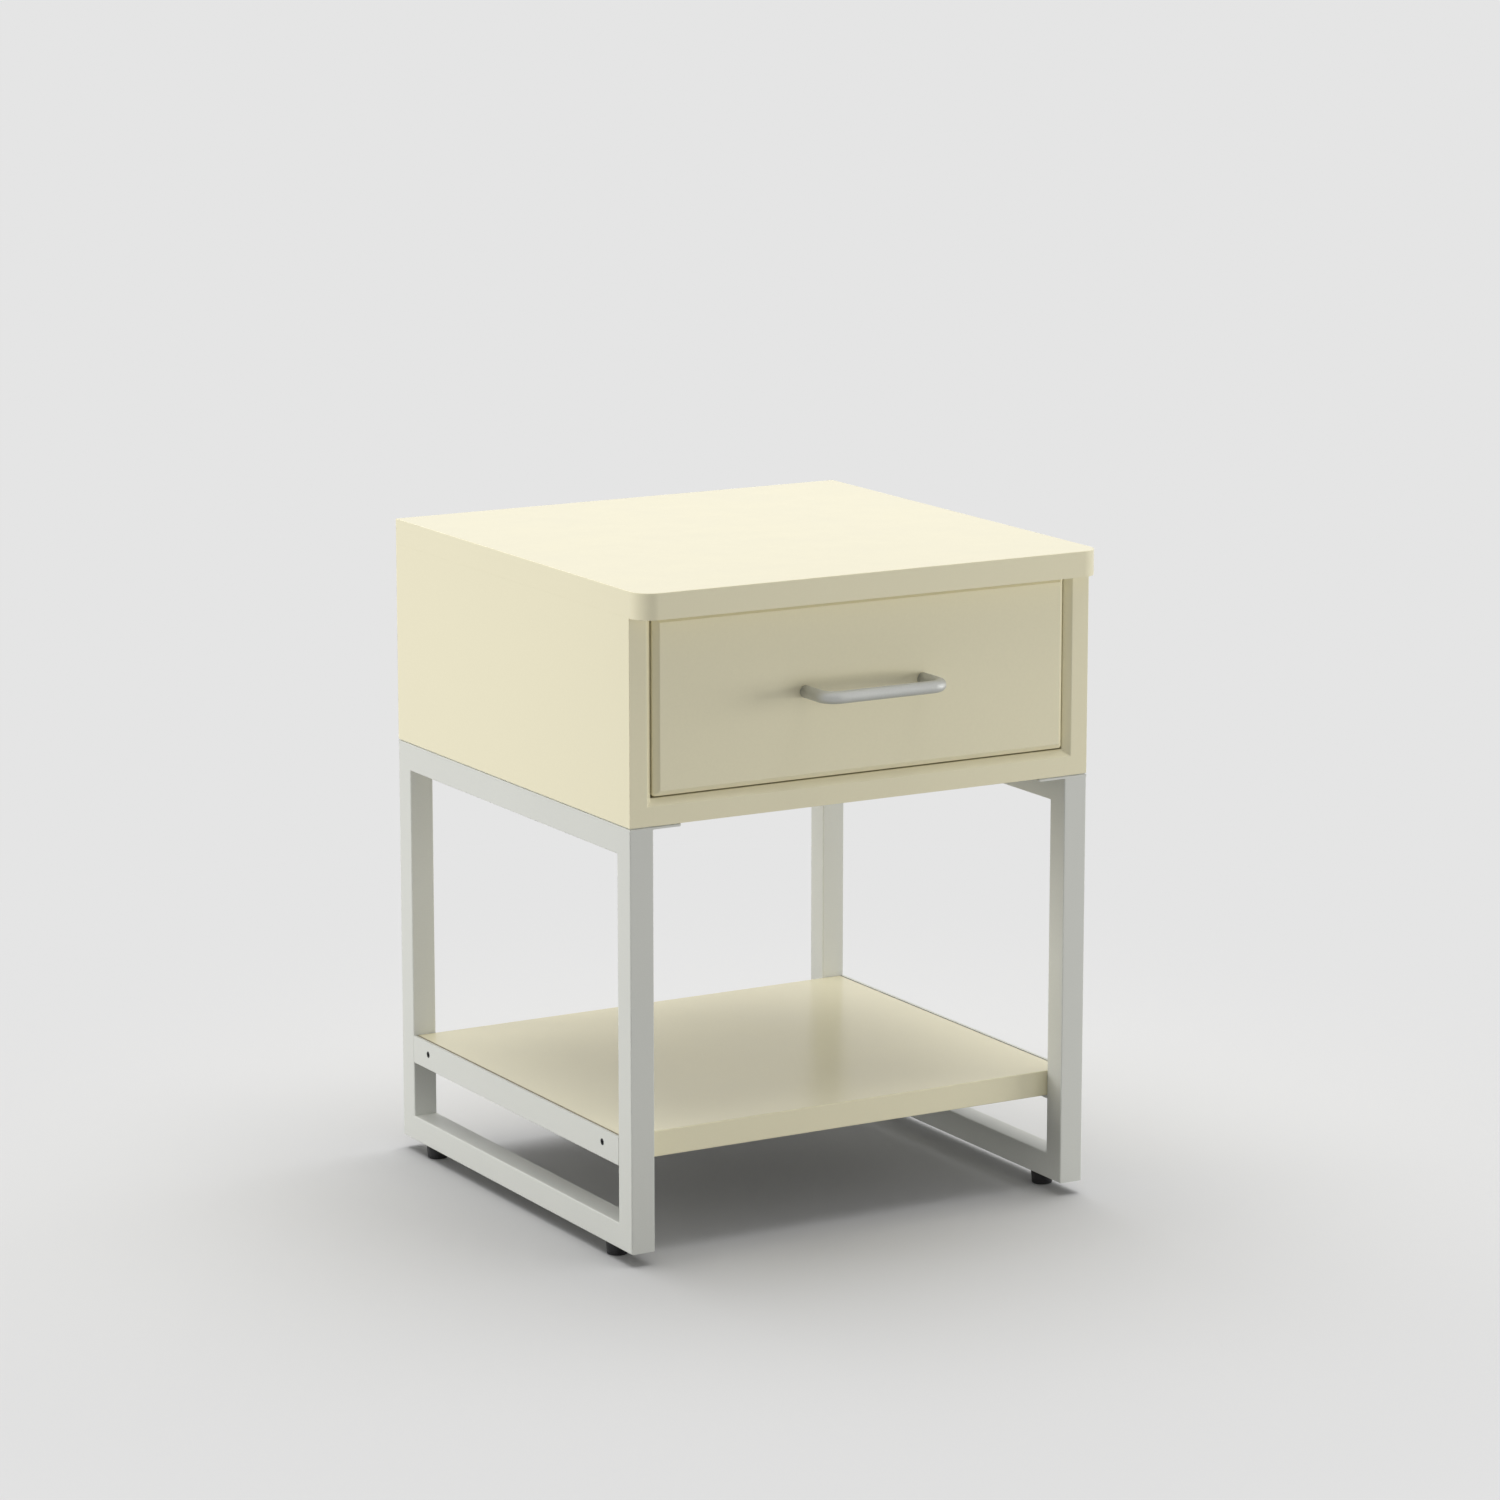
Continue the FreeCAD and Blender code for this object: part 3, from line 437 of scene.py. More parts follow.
def soften(obj, width, steps=3, angle=30, material=-1, share=None):
    # small rounded arrises with flat faces kept flat; share(a, b) makes some of them finer
    bm = bmesh.new()
    bm.from_mesh(obj.data)
    weight = bm.edges.layers.float.new("bevel_weight_edge")
    for edge in bm.edges:
        if len(edge.link_faces) == 2 and edge.calc_face_angle() > math.radians(angle):
            edge[weight] = share(edge.verts[0].co, edge.verts[1].co) if share else 1.0
            edge.smooth = edge[weight] > 0
    for face in bm.faces:
        face.smooth = True
    bm.to_mesh(obj.data)
    bm.free()
    edge = obj.modifiers.new("arris", "BEVEL")
    edge.width, edge.segments, edge.material, edge.limit_method = width, steps, material, "WEIGHT"
    dropSlivers(baked(obj))
    flat = obj.modifiers.new("flat", "WEIGHTED_NORMAL")
    flat.keep_sharp, flat.weight = True, 50
    return baked(obj)


def smoothTurned(obj, angle=40):
    for face in obj.data.polygons:
        face.use_smooth = True
    obj.data.set_sharp_from_angle(angle=math.radians(angle))
    return obj


def turned(name, rows, centre=(0, 0, 0), axis="z", steps=40, pitch=0.0, closed=False):
    # lathe: rows of (radius, height, thread depth); the thread is cut along a true helix
    bm = bmesh.new()
    rings = []
    for radius, height, depth in rows:
        ring = []
        for i in range(steps):
            share = i / steps
            r = radius
            if depth:
                phase = (height / pitch - share) % 1.0
                r -= depth * min(1, abs(phase - 0.5) * 2.6)
            angle = 2 * math.pi * share
            u, v, w = r * math.cos(angle), r * math.sin(angle), height
            at = {"x": (w, u, v), "y": (v, w, u), "z": (u, v, w)}[axis]
            ring.append(at)
        if radius < 1e-9:
            pole = bm.verts.new([a + b for a, b in zip(ring[0], centre)])
            rings.append([pole] * steps)
        else:
            rings.append([bm.verts.new([a + b for a, b in zip(at, centre)]) for at in ring])
    for first, second in zip(rings, rings[1:] + (rings[:1] if closed else [])):
        bridge(bm, first, second)
    return smoothTurned(makeObject(name, bm))


def plainRows(pairs):
    return [(r * mm, h * mm, 0.0) for r, h in pairs]


def threadRows(radius, start, end, depth, pitch, stepsPerTurn=6):
    count = max(2, int(round((end - start) / pitch * stepsPerTurn)))
    return [(radius * mm, (start + (end - start) * i / count) * mm, depth * mm) for i in range(count + 1)]


def dress(obj, body, node, slot, *materials):
    for material in materials:
        obj.data.materials.append(material)
    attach(obj, body)
    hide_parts(node)
    if slot.endswith("steel"):
        receivers["metals"].objects.link(obj)
    return obj


squareOn = 0.9   # part of a normal along an axis, past which a face faces it


def bandFaces(obj, axis):
    # narrow faces of a board take the edge band
    for face in obj.data.polygons:
        face.material_index = 0 if abs(face.normal[axis]) > squareOn else 1


def board(name, bm, axis, arris, body, node, finishes, cutters=(), share=None, under=None):
    slot, faceFinish, bandFinish = finishes
    obj = carve(makeObject(name, bm), *cutters)
    bandFaces(obj, axis)
    obj.data.materials.append(faceFinish)
    obj.data.materials.append(bandFinish)
    if under:
        obj.data.materials.append(under)
        for face in obj.data.polygons:
            if face.normal.z < -squareOn:
                face.material_index = 2
    soften(obj, arris * mm, material=1, share=share)
    return dress(obj, body, node, slot)


# ---------- where the screws go, and the countersinks cut for the flush ones

ahead, up = (0, -1, 0), (0, 0, 1)
both = (-1, 1)
runnerYs = (-143.5, 6.5, 156.5)
# each place is x, y, z in millimetres and the direction the screw is driven in
screwPlaces = {
    "backPanel": [(x, 262.5, 431.5, ahead) for x in (-185, 0, 185)]
    + [(230 * s, 262.5, z, ahead) for s in both for z in (484, 575)],
    "caseRunner": [(223.8 * s, y, 471.2, (s, 0, 0)) for s in both for y in runnerYs],
    "drawerRunner": [(213.7 * s, y, 465, (-s, 0, 0)) for s in both for y in runnerYs],
    "drawerBox": [(212.5 * s, y, z, (-s, 0, 0)) for s in both for y in (-189.5, 218.5) for z in (490.2, 565)],
    "shelf": [(250 * s, y, 108.5, (-s, 0, 0)) for s in both for y in (-158.5, 205.5)],
    "flange": [(210 * s, y, 416, up) for s in both for y in (-170.5, 23.5, 217.5)],
    "drawerBottom": [(x, 218.5, 470.1, up) for x in (-100.25, 0, 100.25)],
    "drawerFront": [(160.5 * s, -183.5, z, ahead) for s in both for z in (500, 560)],
    "handle": [(64 * s, -183.5, 529.5, ahead) for s in both],
}
screwValues = {"radius": 1.75, "pitch": 1.6, "threadDepth": 0.5, "headRadius": 3.3, "headHeight": 1.6,
               "sunk": 0.12, "fit": 0.1, "holeLead": 0.5, "holeSteps": 32, "holeRim": 0.4,
               "panRadius": 4.0, "panHeight": 2.4, "crossWidth": 0.8, "crossReach": 1.9, "crossDepth": 1.5,
               "crossTaper": 0.45,
               "socketRadius": 1.4, "socketDepth": 2.6, "headSteps": 28}


def holesOn(key, side=0):
    return [place for place in screwPlaces[key] if side == 0 or place[0] * side > 0]


def sinkCutter(places, depth):
    bm = bmesh.new()
    head, shank = screwValues["headRadius"] + screwValues["fit"], screwValues["radius"] + screwValues["fit"]
    sunk, count = screwValues["sunk"], screwValues["holeSteps"]
    rows = ((head, -screwValues["holeLead"]), (head, sunk), (shank, sunk + screwValues["headHeight"]), (shank, depth))
    for x, y, z, way in places:
        turn = Vector((0, 0, 1)).rotation_difference(Vector(way))
        loft([[(turn @ Vector((u, v, height)) + Vector((x, y, z))) * mm for u, v in circle(radius, count)]
              for radius, height in rows], bm)
    return bm


def sparing(places, other=None):
    # rims of screw holes are left sharp
    axes = [(Vector(place[:3]) * mm, Vector(place[3])) for place in places]
    reach = (screwValues["headRadius"] + screwValues["holeRim"]) * mm

    def share(a, b):
        for at, way in axes:
            if max((point - at).cross(way).length for point in (a, b)) < reach:
                return 0.0
        return other(a, b) if other else 1.0
    return share


# ---------- laminated case

case = {
    "arris": 0.7,
    "topCorner": 20, "cornerSteps": 20,
    "openingBevel": 6.5,
    "rebate": 10,
    "backArris": 0.4,
    "jointShare": 0.12,       # of the arris, where two boards meet flush
    "touching": 1e-5,         # metres
}


def openingCutter():
    # mitred bevel round the drawer opening
    low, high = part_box("bottom_panel")
    half, floorLevel, front = high.x, high.z, low.y
    bevel, ceiling = case["openingBevel"] * mm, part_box("top_panel")[0].z
    outer = [(-half - bevel, front, ceiling), (half + bevel, front, ceiling),
             (half + bevel, front, floorLevel - bevel), (-half - bevel, front, floorLevel - bevel)]
    inner = [(-half, front + bevel, ceiling), (half, front + bevel, ceiling),
             (half, front + bevel, floorLevel), (-half, front + bevel, floorLevel)]
    return loft((outer, inner))


def rebateCutter():
    low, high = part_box("back_panel")
    reach = case["rebate"] * mm
    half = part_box("bottom_panel")[1].x + reach
    return block((-half, low.y, low.z - 0.001), (half, high.y + 0.001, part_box("top_panel")[0].z + reach))


def closeJoint(*planes):
    # edges lying in a joint between boards stay nearly sharp; planes are (axis, place)
    def share(a, b):
        for axis, place in planes:
            if all(abs(abs(point[axis]) - place) < case["touching"] for point in (a, b)):
                return case["jointShare"]
        return 1.0
    return share


def buildCase():
    joint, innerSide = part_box("top_panel")[0].z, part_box("bottom_panel")[1].x
    low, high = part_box("top_panel")
    corner = case["topCorner"] * mm
    outline = rounded([(low.x, low.y, corner), (high.x, low.y, corner), (high.x, high.y, 0), (low.x, high.y, 0)],
                      case["cornerSteps"])
    board("topBoard", prism(outline, "z", low.z, high.z), 2, case["arris"], "cabinet", "top_panel",
          laminated, [rebateCutter()], closeJoint((2, joint)))
    low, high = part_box("bottom_panel")
    board("bottomBoard", block(low, high), 2, case["arris"], "cabinet", "bottom_panel",
          laminated, [openingCutter(), rebateCutter()], closeJoint((0, innerSide)))
    for word, _ in sides:
        low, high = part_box(word + "_side_panel")
        board(word + "SideBoard", block(low, high), 0, case["arris"], "cabinet", word + "_side_panel",
              laminated, [openingCutter(), rebateCutter()], closeJoint((2, joint), (0, innerSide)))
    low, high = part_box("back_panel")
    places = holesOn("backPanel")
    board("backBoard", block(low, high), 1, case["backArris"], "cabinet", "back_panel",
          laminated, [sinkCutter(places, 8)], sparing(places))
    print("case built")


buildCase()

# ---------- drawer front and box

drawer = {
    "frontBevel": 5.5, "frontCorner": 3.0, "frontArris": 0.6,
    "boxArris": 0.8, "bottomArris": 0.3,
    "grooveDepth": 6, "grooveHeight": 5.2, "grooveLift": 10,
}


def buildDrawerFront():
    low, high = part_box("drawer_front")
    bevel, corner = drawer["frontBevel"] * mm, drawer["frontCorner"] * mm
    outlines = []
    for y, inset, radius in ((high.y, 0, corner), (low.y + bevel, 0, corner), (low.y, bevel, corner * 0.2)):
        outline = rounded(rectangle(low.x + inset, low.z + inset, high.x - inset, high.z - inset, radius), 6)
        outlines.append([(x, y, z) for x, z in outline])
    board("drawerFrontBoard", loft(outlines), 1, drawer["frontArris"], "drawer", "drawer_front", laminated)


def buildDrawerBox():
    lowBox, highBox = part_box("left_drawer_side")[0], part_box("right_drawer_side")[1]
    grooveLow = lowBox.z + drawer["grooveLift"] * mm
    reach = drawer["grooveDepth"] * mm
    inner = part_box("drawer_inner_front")[1]

    def groove():
        return block((-inner.x - reach, inner.y - reach, grooveLow),
                     (inner.x + reach, highBox.y + 0.001, grooveLow + drawer["grooveHeight"] * mm))
    for name, node, axis in (("leftDrawerSide", "left_drawer_side", 0), ("rightDrawerSide", "right_drawer_side", 0),
                             ("drawerInnerFront", "drawer_inner_front", 1), ("drawerBackBoard", "drawer_back", 1)):
        cutters = [] if node == "drawer_back" else [groove()]
        places = holesOn("drawerBox", -1 if name.startswith("left") else 1) if axis == 0 else []
        if places:
            cutters.append(sinkCutter(places, 14))
        board(name, block(*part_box(node)), axis, drawer["boxArris"], "drawer", node, lined, cutters, sparing(places))
    board("drawerBottomBoard", block(*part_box("drawer_bottom")), 2, drawer["bottomArris"], "drawer",
          "drawer_bottom", lined)
    print("drawer built")


buildDrawerFront()
buildDrawerBox()

# ---------- handle: bar bent into a D

handle = {"centres": 128, "reach": 41, "bend": 14, "radius": 6, "chamfer": 0.5,
          "ringSteps": 40, "bendSteps": 18, "gripSteps": 24}


def handlePath():
    # points and directions along the bar, in the plane of X and Y, from the left post's foot
    span, reach, bend = handle["centres"] / 2, handle["reach"], handle["bend"]
    points = [(-span, 0), (-span, -(reach - bend) * 0.5), (-span, bend - reach)]
    for i in range(1, handle["bendSteps"] + 1):
        angle = math.pi / 2 * i / handle["bendSteps"]
        points.append((-span + bend - bend * math.cos(angle), bend - reach - bend * math.sin(angle)))
    for i in range(1, handle["gripSteps"]):
        points.append((-(span - bend) + 2 * (span - bend) * i / handle["gripSteps"], -reach))
    mirrored = [(-x, y) for x, y in reversed(points[:3 + handle["bendSteps"]])]
    return points + mirrored


def buildHandle():
    low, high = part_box("handle")
    root = Vector((0, high.y, (low.z + high.z) / 2))
    path = [Vector((x, y, 0)) * mm for x, y in handlePath()]
    radius, chamfer = handle["radius"] * mm, handle["chamfer"] * mm
    last = len(path) - 1
    tangents = [(path[min(i + 1, last)] - path[max(i - 1, 0)]).normalized() for i in range(len(path))]
    stations = [(path[0], tangents[0], radius - chamfer, 0.0)]
    travelled = 0.0
    for i, (point, along) in enumerate(zip(path, tangents)):
        if i:
            travelled += (point - path[i - 1]).length
        shift = chamfer if i == 0 else -chamfer if i == last else 0
        stations.append((point + along * shift, along, radius, travelled))
    stations.append((path[-1], tangents[-1], radius - chamfer, travelled))
    bm = bmesh.new()
    layer = bm.loops.layers.uv.new("barUV")
    steps = handle["ringSteps"]
    rings = []
    for point, along, r, _ in stations:
        across = along.cross(Vector((0, 0, 1))).normalized()
        ring = []
        for i in range(steps):
            angle = 2 * math.pi * i / steps
            arm = across * math.cos(angle) + Vector((0, 0, 1)) * math.sin(angle)
            ring.append(bm.verts.new(root + point + arm * r))
        rings.append(ring)
    for k in range(len(rings) - 1):
        for i in range(steps):
            j = (i + 1) % steps
            face = bm.faces.new((rings[k][i], rings[k][j], rings[k + 1][j], rings[k + 1][i]))
            corners = ((k, i), (k, i + 1), (k + 1, i + 1), (k + 1, i))
            for loop, (row, column) in zip(face.loops, corners):
                loop[layer].uv = (stations[row][3], column / steps * 2 * math.pi * radius)
    for ring, station in ((rings[0], stations[0]), (rings[-1], stations[-1])):
        face = bm.faces.new(ring)
        for loop in face.loops:
            loop[layer].uv = (station[3], 0)
    obj = smoothTurned(makeObject("dHandle", bm), 50)
    dress(obj, "drawer", "handle", "satin_steel", satinSteel)
    print("handle built")


buildHandle()

# ---------- side frames: mitred square tube, flange and shelf angle

tubes = {"size": 25, "wall": 1.5, "corner": 1.4, "innerCorner": 0.4, "cornerSteps": 5,
         "dressed": 0.15,          # outer corner of the top rail, ground flush with the flange
         "flangeCorner": 3, "flangeArris": 0.35, "shadowGap": 0.9, "gapDepth": 1.8,
         "angleThick": 3, "angleArris": 0.45, "angleFillet": 2.0, "angleCorner": 1.2,
         "spigot": 5.4, "spigotSteps": 28, "spigotDepth": 3}


def tubeMesh(length, place, dressed=False):
    # place(across, outward, along): outward 0 is the outer face of the frame's rectangle
    size, wall = tubes["size"] * mm, tubes["wall"] * mm
    steps, corner = tubes["cornerSteps"], tubes["corner"] * mm
    outerCorner = tubes["dressed"] * mm if dressed else corner
    outer = rounded([(0, 0, outerCorner), (size, 0, outerCorner), (size, size, corner), (0, size, corner)], steps)
    inner = rounded(rectangle(wall, wall, size - wall, size - wall, tubes["innerCorner"] * mm), steps)
    bm = bmesh.new()
    ends = []
    for outline in (outer, inner):
        pair = []
        for end in (0, 1):
            pair.append([bm.verts.new(place(u, v, v if end == 0 else length - v)) for u, v in outline])
        bridge(bm, *pair)
        ends.append(pair)
    for end in (0, 1):
        bridge(bm, ends[0][end], ends[1][end])
    return bm


def buildFrames():
    for word, side in sides:
        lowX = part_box(word + "_front_leg")[0].x
        low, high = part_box(word + "_top_rail")
        front, back, top = low.y, high.y, high.z
        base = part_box(word + "_bottom_rail")[0].z
        height, depth = top - base, back - front
        pieces = (
            ("FrontLeg", "_front_leg", height, lambda u, v, w: (lowX + u, front + v, base + w)),
            ("RearLeg", "_rear_leg", height, lambda u, v, w: (lowX + u, back - v, base + w)),
            ("TopRail", "_top_rail", depth, lambda u, v, w: (lowX + u, front + w, top - v)),
            ("BottomRail", "_bottom_rail", depth, lambda u, v, w: (lowX + u, front + w, base + v)),
        )
        for name, node, length, place in pieces:
            obj = makeObject(word + name, tubeMesh(length, place, node == "_top_rail"))
            if node == "_bottom_rail":
                for spot in ("front", "rear"):
                    footLow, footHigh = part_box("%s_%s_foot_stem" % (spot, word))
                    middle = (footLow + footHigh) / 2
                    ring = circle(tubes["spigot"] * mm, tubes["spigotSteps"])
                    hole = [(x + middle.x, y + middle.y) for x, y in ring]
                    carve(obj, prism(hole, "z", base - mm, base + tubes["spigotDepth"] * mm))
            smoothTurned(obj, 32)
            flat = obj.modifiers.new("flat", "WEIGHTED_NORMAL")
            flat.keep_sharp = True
            baked(obj)
            dress(obj, "cabinet", word + node, "frame_paint", framePaint)

        low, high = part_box(word + "_mounting_flange")
        corner = tubes["flangeCorner"] * mm
        radii = (0, corner, corner, 0) if side < 0 else (corner, 0, 0, corner)
        outlines = []
        gap, inset = tubes["shadowGap"] * mm, tubes["gapDepth"] * mm
        for z, edge in ((low.z, 0), (high.z - gap, 0), (high.z - gap, inset), (high.z, inset)):
            corners = rectangle(low.x + edge, low.y + edge, high.x - edge, high.y - edge)
            outline = rounded([(x, y, max(0, r - edge)) for (x, y, _), r in zip(corners, radii)], 8)
            outlines.append([(x, y, z) for x, y in outline])
        obj = makeObject(word + "MountingFlange", loft(outlines))
        soften(obj, tubes["flangeArris"] * mm, 2, share=closeJoint((2, top)))
        dress(obj, "cabinet", word + "_mounting_flange", "frame_paint", framePaint)

        low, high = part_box(word + "_shelf_angle")
        thick, corner = tubes["angleThick"] * mm, tubes["angleCorner"] * mm
        near, far = (low.x, high.x) if side > 0 else (high.x, low.x)
        inward = -side
        outline = rounded([(far, low.z, corner), (near, low.z, 0), (near, low.z + thick, 0),
                           (far + inward * thick, low.z + thick, tubes["angleFillet"] * mm),
                           (far + inward * thick, high.z, 0), (far, high.z, 0)], 5)
        obj = makeObject(word + "ShelfAngle", prism(outline, "y", low.y, high.y))
        places = holesOn("shelf", side)
        carve(obj, sinkCutter(places, 4))
        dress(soften(obj, tubes["angleArris"] * mm, 2, share=sparing(places)), "cabinet", word + "_shelf_angle",
              "frame_paint", framePaint)
    print("frames built")


buildFrames()

# ---------- shelf

shelf = {"arris": 1.0, "gap": 0.8,   # gap beside each angle
         "edgeNormal": 0.25}         # X of a normal past which a face takes the dark painted shade of the gap beside the angle


def buildShelf():
    sideGap = Vector((shelf["gap"] * mm, 0, 0))
    low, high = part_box("shelf")
    obj = board("shelfBoard", block(low + sideGap, high - sideGap), 2, shelf["arris"], "cabinet",
                "shelf", laminated, under=backing)
    # the ends that face the angles take the dark painted shade of the gap
    obj.data.materials.append(shelfEndShade)
    for face in obj.data.polygons:
        if abs(face.normal.x) > shelf["edgeNormal"]:
            face.material_index = len(obj.data.materials) - 1
    print("shelf built")


buildShelf()

# ---------- drawer runners: roll-formed steel with rounded bends

runners = {"steel": 1.2, "bend": 1.0, "stop": 6, "lipStart": -167.5, "lipBase": 481.4, "stopAt": -116.5,
           "floorNear": 214.5, "sliderTop": 482.9, "arris": 0.25}


def sheetOutline(path, thick, bend):
    # constant-thickness profile to the left of a path of corners
    left, right = [], []
    for i, point in enumerate(path):
        here = Vector(point)
        before = (here - Vector(path[i - 1])).normalized() if i else None
        after = (Vector(path[i + 1]) - here).normalized() if i + 1 < len(path) else None
        normals = [Vector((-d.y, d.x)) for d in (before, after) if d is not None]
        shift = sum(normals, Vector((0, 0)))
        turn = 0 if before is None or after is None else before.x * after.y - before.y * after.x
        radius = 0 if not turn else bend
        outer = 0 if not turn else bend + thick
        left.append((*(here + shift * thick), radius * (turn > 0) + outer * (turn < 0)))
        right.append((here.x, here.y, outer * (turn > 0) + radius * (turn < 0)))
    return rounded([(x * mm, y * mm, r * mm) for x, y, r in right + left[::-1]], 5)


def buildRunners():
    steel, bend = runners["steel"], runners["bend"]
    for word, side in sides:
        low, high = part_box(word + "_case_runner")
        base, top = low.z / mm, high.z / mm
        far = max(abs(low.x), abs(high.x)) / mm
        near = runners["floorNear"]
        path = [(near, base), (far, base), (far, top), (near, top)]
        outline = [(x * side, z) for x, z in sheetOutline(path, steel, bend)]
        obj = makeObject(word + "CaseRunner", prism(outline, "y", low.y, high.y))
        ends = sorted((side * (near - 1) * mm, side * (far - steel - bend) * mm))
        places = holesOn("caseRunner", side)
        lip, stop, stopAt = runners["lipBase"], runners["stop"], runners["stopAt"]
        carve(obj, block((ends[0], low.y - mm, (lip - 0.6) * mm),
                         (ends[1], runners["lipStart"] * mm, high.z + mm)), sinkCutter(places, 3))
        soften(obj, runners["arris"] * mm, 2, 50, share=sparing(places))
        inner = sorted((side * near * mm, side * (far - steel + 0.05) * mm))
        stops = [block((inner[0], high.y - steel * mm, low.z + (steel - 0.05) * mm),
                       (inner[1], high.y, low.z + (stop + steel) * mm)),
                 block((inner[0], stopAt * mm, (lip - stop) * mm),
                       (inner[1], (stopAt + steel) * mm, (lip + 0.05) * mm))]
        tabs = [soften(makeObject("tab", bm), 0.3 * mm, 2) for bm in stops]
        joinInto(obj, tabs)
        dress(obj, "cabinet", word + "_case_runner", "runner_paint", runnerPaint)

        low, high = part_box(word + "_drawer_runner")
        inner, outer = sorted((abs(low.x) / mm, abs(high.x) / mm))
        face = abs(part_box(word + "_drawer_side")[0 if side < 0 else 1].x) / mm
        top = runners["sliderTop"]
        path = [(inner, low.z / mm), (face + steel, low.z / mm), (face + steel, top), (outer, top)]
        outline = [(x * side, z) for x, z in sheetOutline(path, steel, bend * 0.6)]
        obj = makeObject(word + "DrawerRunner", prism(outline, "y", low.y, high.y))
        places = holesOn("drawerRunner", side)
        carve(obj, sinkCutter(places, 3))
        soften(obj, runners["arris"] * mm, 2, 50, share=sparing(places))
        dress(obj, "drawer", word + "_drawer_runner", "runner_paint", runnerPaint)
    print("runners built")


def joinInto(obj, others):
    bm = bmesh.new()
    bm.from_mesh(obj.data)
    for other in others:
        bm.from_mesh(other.data)
        bpy.data.objects.remove(other)
    bm.to_mesh(obj.data)
    bm.free()
    return obj


buildRunners()

# ---------- nylon rollers

rollerValues = {"edge": 1.0, "hub": 4.6, "dish": 0.8, "bore": 2.55}


def buildRollers():
    for word, _ in sides:
        for kind in ("case", "drawer"):
            node = "%s_%s_roller" % (word, kind)
            low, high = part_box(node)
            middle = (low + high) / 2
            radius, half = (high.z - low.z) / 2 / mm, (high.x - low.x) / 2 / mm
            edge, hub, dish, bore = (rollerValues[k] for k in ("edge", "hub", "dish", "bore"))
            web = half - dish
            rows = [(bore, -half), (hub, -half), (hub + 0.4, -web), (radius - 2.2, -web), (radius - 1.6, -half),
                    (radius - edge, -half), (radius - edge * 0.3, -half + edge * 0.3), (radius, -half + edge)]
            profile = rows + [(r, -height) for r, height in reversed(rows)]
            obj = turned(word + kind.capitalize() + "Roller", plainRows(profile), middle, "x", 56, closed=True)
            dress(obj, node, node, "nylon", nylon)
    print("rollers built")


buildRollers()

# ---------- levelling feet

feet = {
    "padTop": 11, "padBase": 10, "padHeight": 12.7, "lip": 0.8, "floorEdge": 1.0, "bore": 4.3,
    "stem": 4.0, "pitch": 1.25, "threadDepth": 0.55, "headRadius": 6.5, "headHeight": 4.0, "socket": 2.6,
}


def buildFeet():
    for spot in ("front", "rear"):
        for word, _ in sides:
            label = "%s_%s_foot" % (spot, word)
            low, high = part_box(label + "_pad")
            centre = ((low.x + high.x) / 2, (low.y + high.y) / 2, 0)
            base, rim, top, bore = (feet[k] for k in ("padBase", "padTop", "padHeight", "bore"))
            lip = top - feet["lip"]
            name = spot + word.capitalize()
            profile = [(0, 0.5), (6.5, 0.5), (7.2, 0), (base - feet["floorEdge"], 0),
                       (base - 0.3, 0.25), (base, feet["floorEdge"]),
                       (base + 0.12, 2.6), (base - 0.15, 2.9), (base - 0.1, 3.3), (base + 0.22, 3.6),
                       (rim - 0.12, lip - 0.5), (rim, lip), (rim - 0.1, top - 0.3), (rim - 0.5, top), (bore, top),
                       (bore, 7.1), (6.6, 7.1), (6.6, 3.0), (0, 3.0)]
            pad = turned(name + "FootPad", plainRows(profile), centre, steps=64)
            dress(pad, label + "_pad", label + "_pad", "foot_plastic", footPlastic)
            low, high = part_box(label + "_stem")
            foot, tip = low.z / mm, high.z / mm
            shoulder, head = foot + feet["headHeight"], feet["headRadius"]
            rows = plainRows([(0, foot), (5.9, foot), (head, foot + 0.6), (head, shoulder - 0.6), (5.9, shoulder),
                              (3.4, shoulder)])
            rows += threadRows(feet["stem"], shoulder + 0.2, tip - 1.2, feet["threadDepth"], feet["pitch"])
            rows += plainRows([(3.0, tip), (feet["socket"], tip), (feet["socket"] - 0.2, tip - 1.0), (0, tip - 1.2)])
            stem = turned(name + "FootStem", rows, centre, steps=28, pitch=feet["pitch"] * mm)
            dress(stem, label + "_stem", label + "_stem", "zinc_steel", zinc)
    print("feet built")


buildFeet()

# ---------- fasteners: one shape set at every place, each turned at random about its axis


